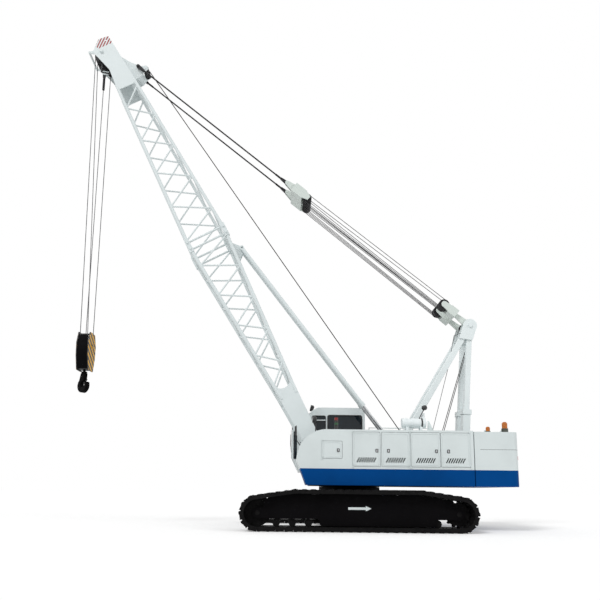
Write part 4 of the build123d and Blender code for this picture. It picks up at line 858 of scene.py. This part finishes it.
# Mirrors: an arm, a shell drawn in at its front and a plate of glass behind
mirrorShape = {"size": (0.05, 0.16, 0.24), "corner": 0.03, "front": (1, 0.7, 0.8), "rim": 0.008,
               "sink": 0.004, "edge": 0.004}
mirrorPane = {"size": (0.004, 0.138, 0.218), "back": 0.0225, "corner": 0.024}
mirrors = [
    {"name": "mirrorRight", "place": (-1.45, 1.79, 2.70), "rod": 0.011,
     "points": [(-1.30, 1.64, 2.50), (-1.45, 1.78, 2.52), (-1.45, 1.78, 2.62)]},
    {"name": "mirrorLeft", "place": (-1.42, -1.62, 2.30), "rod": 0.011,
     "points": [(-1.30, -1.50, 1.95), (-1.42, -1.62, 2.10), (-1.42, -1.62, 2.22)]},
]
for mirror in mirrors:
    bentRod(mirror["name"] + "Arm", mirror, blackPlastic)
    shell = startBox(mirrorShape["size"], (0, 0, 0))
    roundCorners(shell, alongX, mirrorShape["corner"])
    pickFacing(shell, alongX, -1)
    bpy.ops.transform.resize(value=mirrorShape["front"])
    endEdit()
    pickFacing(shell, alongX, 1)
    bpy.ops.mesh.inset(thickness=mirrorShape["rim"], depth=-mirrorShape["sink"])
    endEdit()
    bevelAll(shell, mirrorShape["edge"])
    shell.location = at(*mirror["place"])
    settle(shell, mirror["name"], blackPlastic, "upper")
    x, y, z = mirror["place"]
    pane = startBox(mirrorPane["size"], at(x + mirrorPane["back"], y, z))
    roundCorners(pane, alongX, mirrorPane["corner"])
    settle(pane, mirror["name"] + "Glass", steels["bareSteel"], "upper")

# Rails of bent tube, the lower ends a little inside what carries them
rails = [
    {"name": "cabGrabRail", "body": "upper", "rod": 0.014,
     "points": [(0.10, 1.64, 1.62), (0.10, 1.70, 1.66), (0.10, 1.70, 2.0), (0.10, 1.64, 2.04)]},
    {"name": "doorPull", "body": "cab_door", "rod": 0.014,
     "points": [(-1.08, 1.64, 1.95), (-1.08, 1.685, 1.98), (-1.08, 1.685, 2.20), (-1.08, 1.64, 2.23)]},
    {"name": "deckRail", "body": "upper", "rod": 0.014,
     "points": [(0.75, 1.50, 2.34), (0.75, 1.50, 2.72), (1.55, 1.50, 2.72), (2.60, 1.50, 2.72),
                (2.60, 1.50, 2.34)]},
    {"name": "deckRailPost", "body": "upper", "rod": 0.014,
     "points": [(1.65, 1.50, 2.34), (1.65, 1.50, 2.72)]},
]
for rail in rails:
    bentRod(rail["name"], rail, paints["whitePaint"], rail["body"], sides=3)
cabLatch = {"size": (0.12, 0.014, 0.07), "corner": 0.014, "rim": 0.009, "depth": 0.007,
            "place": (-1.05, 1.644, 1.86)}
doorLatch = dishedPlate(cabLatch["size"], alongY, 1, cabLatch["corner"], cabLatch["rim"], cabLatch["depth"])
doorLatch.location = at(*cabLatch["place"])
settle(doorLatch, "cabDoorLatch", blackPlastic, "cab_door")

# Controls: consoles with a stepped top, levers with knobs
consoleTop = {"rim": 0.015, "shift": 0.03, "rise": 0.05, "share": (0.85, 0.8, 1), "edge": 0.012}
consoles = [
    {"name": "consoleLeft", "size": (0.62, 0.14, 0.34), "place": (-0.50, 0.92, 1.86)},
    {"name": "consoleRight", "size": (0.62, 0.12, 0.34), "place": (-0.50, 1.535, 1.86)},
    {"name": "consoleFront", "size": (0.16, 0.42, 0.30), "place": (-1.12, 1.22, 1.86)},
]
for console in consoles:
    box = boxOf(console)
    pickFacing(box, alongZ, 1)
    bpy.ops.mesh.inset(thickness=consoleTop["rim"])
    drawOut(consoleTop["shift"], 0, consoleTop["rise"])
    bpy.ops.transform.resize(value=consoleTop["share"])
    endEdit()
    bevelAll(box, consoleTop["edge"], 3)
    settle(box, console["name"], blackPlastic, "upper")
lever = {"foot": 2.07, "top": 2.22, "knobZ": 2.24, "lean": 0.02, "rod": 0.007, "knob": 0.022,
         "tall": 0.05, "waist": 0.6, "edge": 0.006, "sides": 20}
leverPlaces = [(-0.72, 0.92), (-0.62, 0.92), (-0.52, 0.92), (-0.70, 1.535), (-0.60, 1.535),
               (-1.08, 1.12), (-1.08, 1.32)]
knob = startCylinder(lever["knob"], lever["tall"], (0, 0, 0), sides=lever["sides"])
pickFacing(knob, alongZ, -1)
bpy.ops.transform.resize(value=(lever["waist"], lever["waist"], 1))
endEdit()
bevelAll(knob, lever["edge"], 3)
leverRuns = [[at(x, y, lever["foot"]), at(x - lever["lean"], y, lever["top"])] for x, y in leverPlaces]
tube("leverRods", leverRuns, lever["rod"], steels["bareSteel"], "upper")
repeated(knob, [at(x - lever["lean"], y, lever["knobZ"]) for x, y in leverPlaces],
         "leverKnob", blackPlastic, "upper")

# Seat cushions: the middle of each broad face is drawn out, the middle of each edge drawn in
crown = {"span": 0.3, "scale": 1.28, "reach": 0.16}
pinch = {"span": 0.25, "scale": 0.95, "reach": 0.12}
padEdge = 0.018
cushions = [
    {"name": "seatCushion", "size": (0.44, 0.44, 0.10), "thin": alongZ, "place": (-0.39, 1.22, 2.045),
     "turn": -2},
    {"name": "backCushion", "size": (0.09, 0.42, 0.52), "thin": alongX, "place": (-0.175, 1.22, 2.33),
     "turn": 12.2},
]


def pullFaces(pad, size, axis, near, pull):  # scale the faces along an axis that lie near its middle
    pickFaces(pad, lambda centre, normal: abs(normal[axis]) > squareOn and all(
        abs(centre[other]) < size[other] * pull["span"] for other in near))
    scale = [1.0, 1.0, 1.0]
    scale[axis] = pull["scale"]
    bpy.ops.transform.resize(value=scale, use_proportional_edit=True,
                             proportional_edit_falloff='SMOOTH', proportional_size=pull["reach"])
    endEdit()


for cushion in cushions:
    pad = startBox(cushion["size"], (0, 0, 0))
    beginEdit(pad, 'FACE')
    bpy.ops.mesh.select_all(action='SELECT')
    bpy.ops.mesh.subdivide(number_cuts=5)
    endEdit()
    wide = [axis for axis in range(3) if axis != cushion["thin"]]
    pullFaces(pad, cushion["size"], cushion["thin"], wide, crown)
    for axis in wide:
        pullFaces(pad, cushion["size"], axis, [other for other in wide if other != axis], pinch)
    bevelAll(pad, padEdge, 3)
    pad.rotation_euler = (0, radians(cushion["turn"]), 0)
    pad.location = at(*cushion["place"])
    settle(pad, cushion["name"], seatVinyl, "upper", smooth=60)
print("cab ready")

# Hook block: rope guards bent from strip, between the cheeks on both sides.
# Each point of the path is a place outwards and a height from the top of the block
guard = {"half": 0.128, "thick": 0.008, "start": 0.004, "edge": 0.0025, "blockDrop": 8.22,
         "path": [(0.222, -0.10), (0.288, -0.30), (0.275, -0.63), (0.178, -0.99)]}
for side, label in ((-1, "Near"), (1, "Far")):
    first = guard["path"][0]
    strip = startBox((2 * guard["half"], guard["thick"], guard["start"]), (0, 0, 0))
    strip.location = (headAxle.x, side * first[0], headAxle.z - guard["blockDrop"] + first[1])
    here = first
    for step in guard["path"][1:]:
        lowest = here[1] - first[1] + 0.001
        pickFaces(strip, lambda centre, normal: centre.z < lowest and normal.z < -0.5)
        drawOut(0, side * (step[0] - here[0]), step[1] - here[1])
        endEdit()
        here = step
    bevelAll(strip, guard["edge"], 1)
    settle(strip, "ropeGuard" + label, paints["blackPaint"], "hook_block")

# White arrows on both side frames, pointing to the rear
arrow = {"size": (0.398, 0.004, 0.055), "x": -0.029, "z": 0.518, "proud": 0.001, "neck": 0.001,
         "flare": 2.1, "head": 0.12, "tip": 0.04}
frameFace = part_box("side_frame_right")[1][1]
for side, label in ((-1, "Left"), (1, "Right")):
    shaft = startBox(arrow["size"], at(arrow["x"], side * (frameFace + arrow["proud"]), arrow["z"]))
    pickFacing(shaft, alongX, 1)
    drawOut(arrow["neck"], 0, 0)
    bpy.ops.transform.resize(value=(1, 1, arrow["flare"]))
    drawOut(arrow["head"], 0, 0)
    bpy.ops.transform.resize(value=(1, 1, arrow["tip"]))
    endEdit()
    settle(shaft, "frameArrow" + label, paints["whitePaint"], "undercarriage", smooth=0)

# Bolt circle of the slew ring: a washer with a hexagon head drawn up from it
bolt = {"washer": 0.01755, "thick": 0.0049, "rim": 0.00455, "height": 0.014, "edge": 0.00156,
        "circle": 0.735, "count": 30, "z": 0.993}
boltHead = startCylinder(bolt["washer"], bolt["thick"], (0, 0, 0), sides=6)
pickFacing(boltHead, alongZ, 1)
bpy.ops.mesh.inset(thickness=bolt["rim"])
drawOut(0, 0, bolt["height"])
endEdit()
bevelAll(boltHead, bolt["edge"], 1)
boltAngles = [2 * pi * index / bolt["count"] for index in range(bolt["count"])]
boltPlaces = [at(bolt["circle"] * cos(angle), bolt["circle"] * sin(angle), bolt["z"]) for angle in boltAngles]
settle(joinAll(copiesOf(boltHead, boltPlaces)), "ringBolts", steels["darkSteel"], "undercarriage")

# Counterweight: lifting lugs, a black strip of painted shadow where its two slabs meet, lamps on its rear
lugs = {"size": (0.10, 0.05, 0.12), "top": 0.5, "corner": 0.018, "rim": 0.026, "z": 2.375,
        "places": [(3.3, -0.9), (3.3, 0.9), (3.7, -0.9), (3.7, 0.9)]}
lug = startBox(lugs["size"], (0, 0, 0))
narrowTop(lug, lugs["top"], 0)
roundCorners(lug, alongY, lugs["corner"], 3)
openThrough(lug, alongY, lugs["rim"])
repeated(lug, [at(x, y, lugs["z"]) for x, y in lugs["places"]], "liftingLug", paints["whitePaint"], "upper")
# A thin black ring round the counterweight: painted shadow of the gap between the slabs
gapShadow = {"size": (1.054, 3.264, 0.006), "place": (3.305, 0, 1.902), "corner": 0.15, "rim": 0.02}
slabGapShadow = boxOf(gapShadow)
roundCorners(slabGapShadow, alongZ, gapShadow["corner"], 6)
openThrough(slabGapShadow, alongZ, gapShadow["rim"])
settle(slabGapShadow, "slabGapShadow", blackPlastic, "upper")
tailLamps = {"size": (0.05, 0.16, 0.10), "corner": 0.016, "rim": 0.012, "sink": 0.006, "x": 3.842,
             "ys": (-1.35, 1.35), "z": 1.72}
tailLamp = dishedPlate(tailLamps["size"], alongX, 1, tailLamps["corner"], tailLamps["rim"], tailLamps["sink"])
repeated(tailLamp, [at(tailLamps["x"], y, tailLamps["z"]) for y in tailLamps["ys"]],
         "tailLamp", redLens, "upper")
hoses = {"radius": 0.014, "ys": (0.60, 0.66, 0.72),
         "points": [(1.30, 1.50), (1.05, 1.62), (0.70, 1.56), (0.30, 1.47), (-0.20, 1.46)]}
tube("deckHoses", [[at(x, y, z) for x, z in hoses["points"]] for y in hoses["ys"]],
     hoses["radius"], blackPlastic, "upper")
print("fittings ready")

# A pale floor, lifted towards white for the camera alone
floorSettings = {"size": 400, "below": 0.002, "colour": (0.93, 0.93, 0.93), "fade": 0.995, "clouds": 0.2,
                 "rough": 0.9, "lift": 0.17}
deselectAll()
bpy.ops.mesh.primitive_plane_add(size=floorSettings["size"], location=(0, 0, -floorSettings["below"]))
floor = bpy.context.object
floor.name = "floor"
floorMaterial, tree, shader, coords = newMaterial("floorMaterial")
floorTint = addMottle(tree, addNoise(tree, coords, floorSettings["clouds"]),
                      shade(floorSettings["colour"], floorSettings["fade"]), floorSettings["colour"])
setColour(tree, shader, floorTint)
shader.inputs["Roughness"].default_value = floorSettings["rough"]
shader.inputs["Specular IOR Level"].default_value = 0.0
shader.inputs["Emission Color"].default_value = (1, 1, 1, 1)
pathKind = tree.nodes.new("ShaderNodeLightPath")
lift = addMath(tree, 'MULTIPLY', pathKind.outputs["Is Camera Ray"], floorSettings["lift"])
tree.links.new(lift, shader.inputs["Emission Strength"])
floor.data.materials.append(floorMaterial)

# A white world, at full strength where it is seen and less as light
worldLevel = {"seen": 1.0, "light": 0.55}
world = bpy.context.scene.world or bpy.data.worlds.new("studio")
bpy.context.scene.world = world
world.use_nodes = True
worldTree = world.node_tree
background = worldTree.nodes["Background"]
background.inputs["Color"].default_value = (1, 1, 1, 1)
rays = worldTree.nodes.new("ShaderNodeLightPath").outputs
seen = addMath(worldTree, 'MAXIMUM', rays["Is Camera Ray"], rays["Is Transmission Ray"])
seen = addMath(worldTree, 'MAXIMUM', seen, rays["Is Glossy Ray"])
strength = addMath(worldTree, 'MULTIPLY_ADD', seen, worldLevel["seen"] - worldLevel["light"],
                   worldLevel["light"])
worldTree.links.new(strength, background.inputs["Strength"])

# Two soft suns: turn is in degrees, soft is the angle they shine from
lamps = [
    {"name": "key", "energy": 1.35, "turn": (48, 0, -38), "soft": 18},
    {"name": "fill", "energy": 0.5, "turn": (62, 0, 60), "soft": 30},
]
for lamp in lamps:
    light = bpy.data.lights.new(lamp["name"], 'SUN')
    light.energy = lamp["energy"]
    light.angle = radians(lamp["soft"])
    holder = bpy.data.objects.new(lamp["name"], light)
    holder.rotation_euler = [radians(value) for value in lamp["turn"]]
    bpy.context.scene.collection.objects.link(holder)

# The camera at the photograph's viewing angle, its place measured from the slewing axis
view = {"place": (-1.65, -15.39, 0.89), "yaw": 0.16, "pitch": 9.21, "roll": 0.62, "lens": 35.2,
        "shiftX": 0.020, "shiftY": 0.16, "far": 500}
yaw, pitch, roll = (radians(view[key]) for key in ("yaw", "pitch", "roll"))
ahead = Vector((sin(yaw) * cos(pitch), cos(yaw) * cos(pitch), sin(pitch)))
level = Vector((cos(yaw), -sin(yaw), 0))
above = level.cross(ahead)
right = level * cos(roll) + above * sin(roll)
top = above * cos(roll) - level * sin(roll)
camera = bpy.data.objects.new("camera", bpy.data.cameras.new("camera"))
bpy.context.scene.collection.objects.link(camera)
camera.matrix_world = Matrix((right, top, -ahead)).transposed().to_4x4()
camera.location = at(*view["place"])
camera.data.lens = view["lens"]
camera.data.shift_x = view["shiftX"]
camera.data.shift_y = view["shiftY"]
camera.data.clip_end = view["far"]
bpy.context.scene.camera = camera
bpy.context.scene.view_settings.view_transform = 'Standard'
print("camera ready")
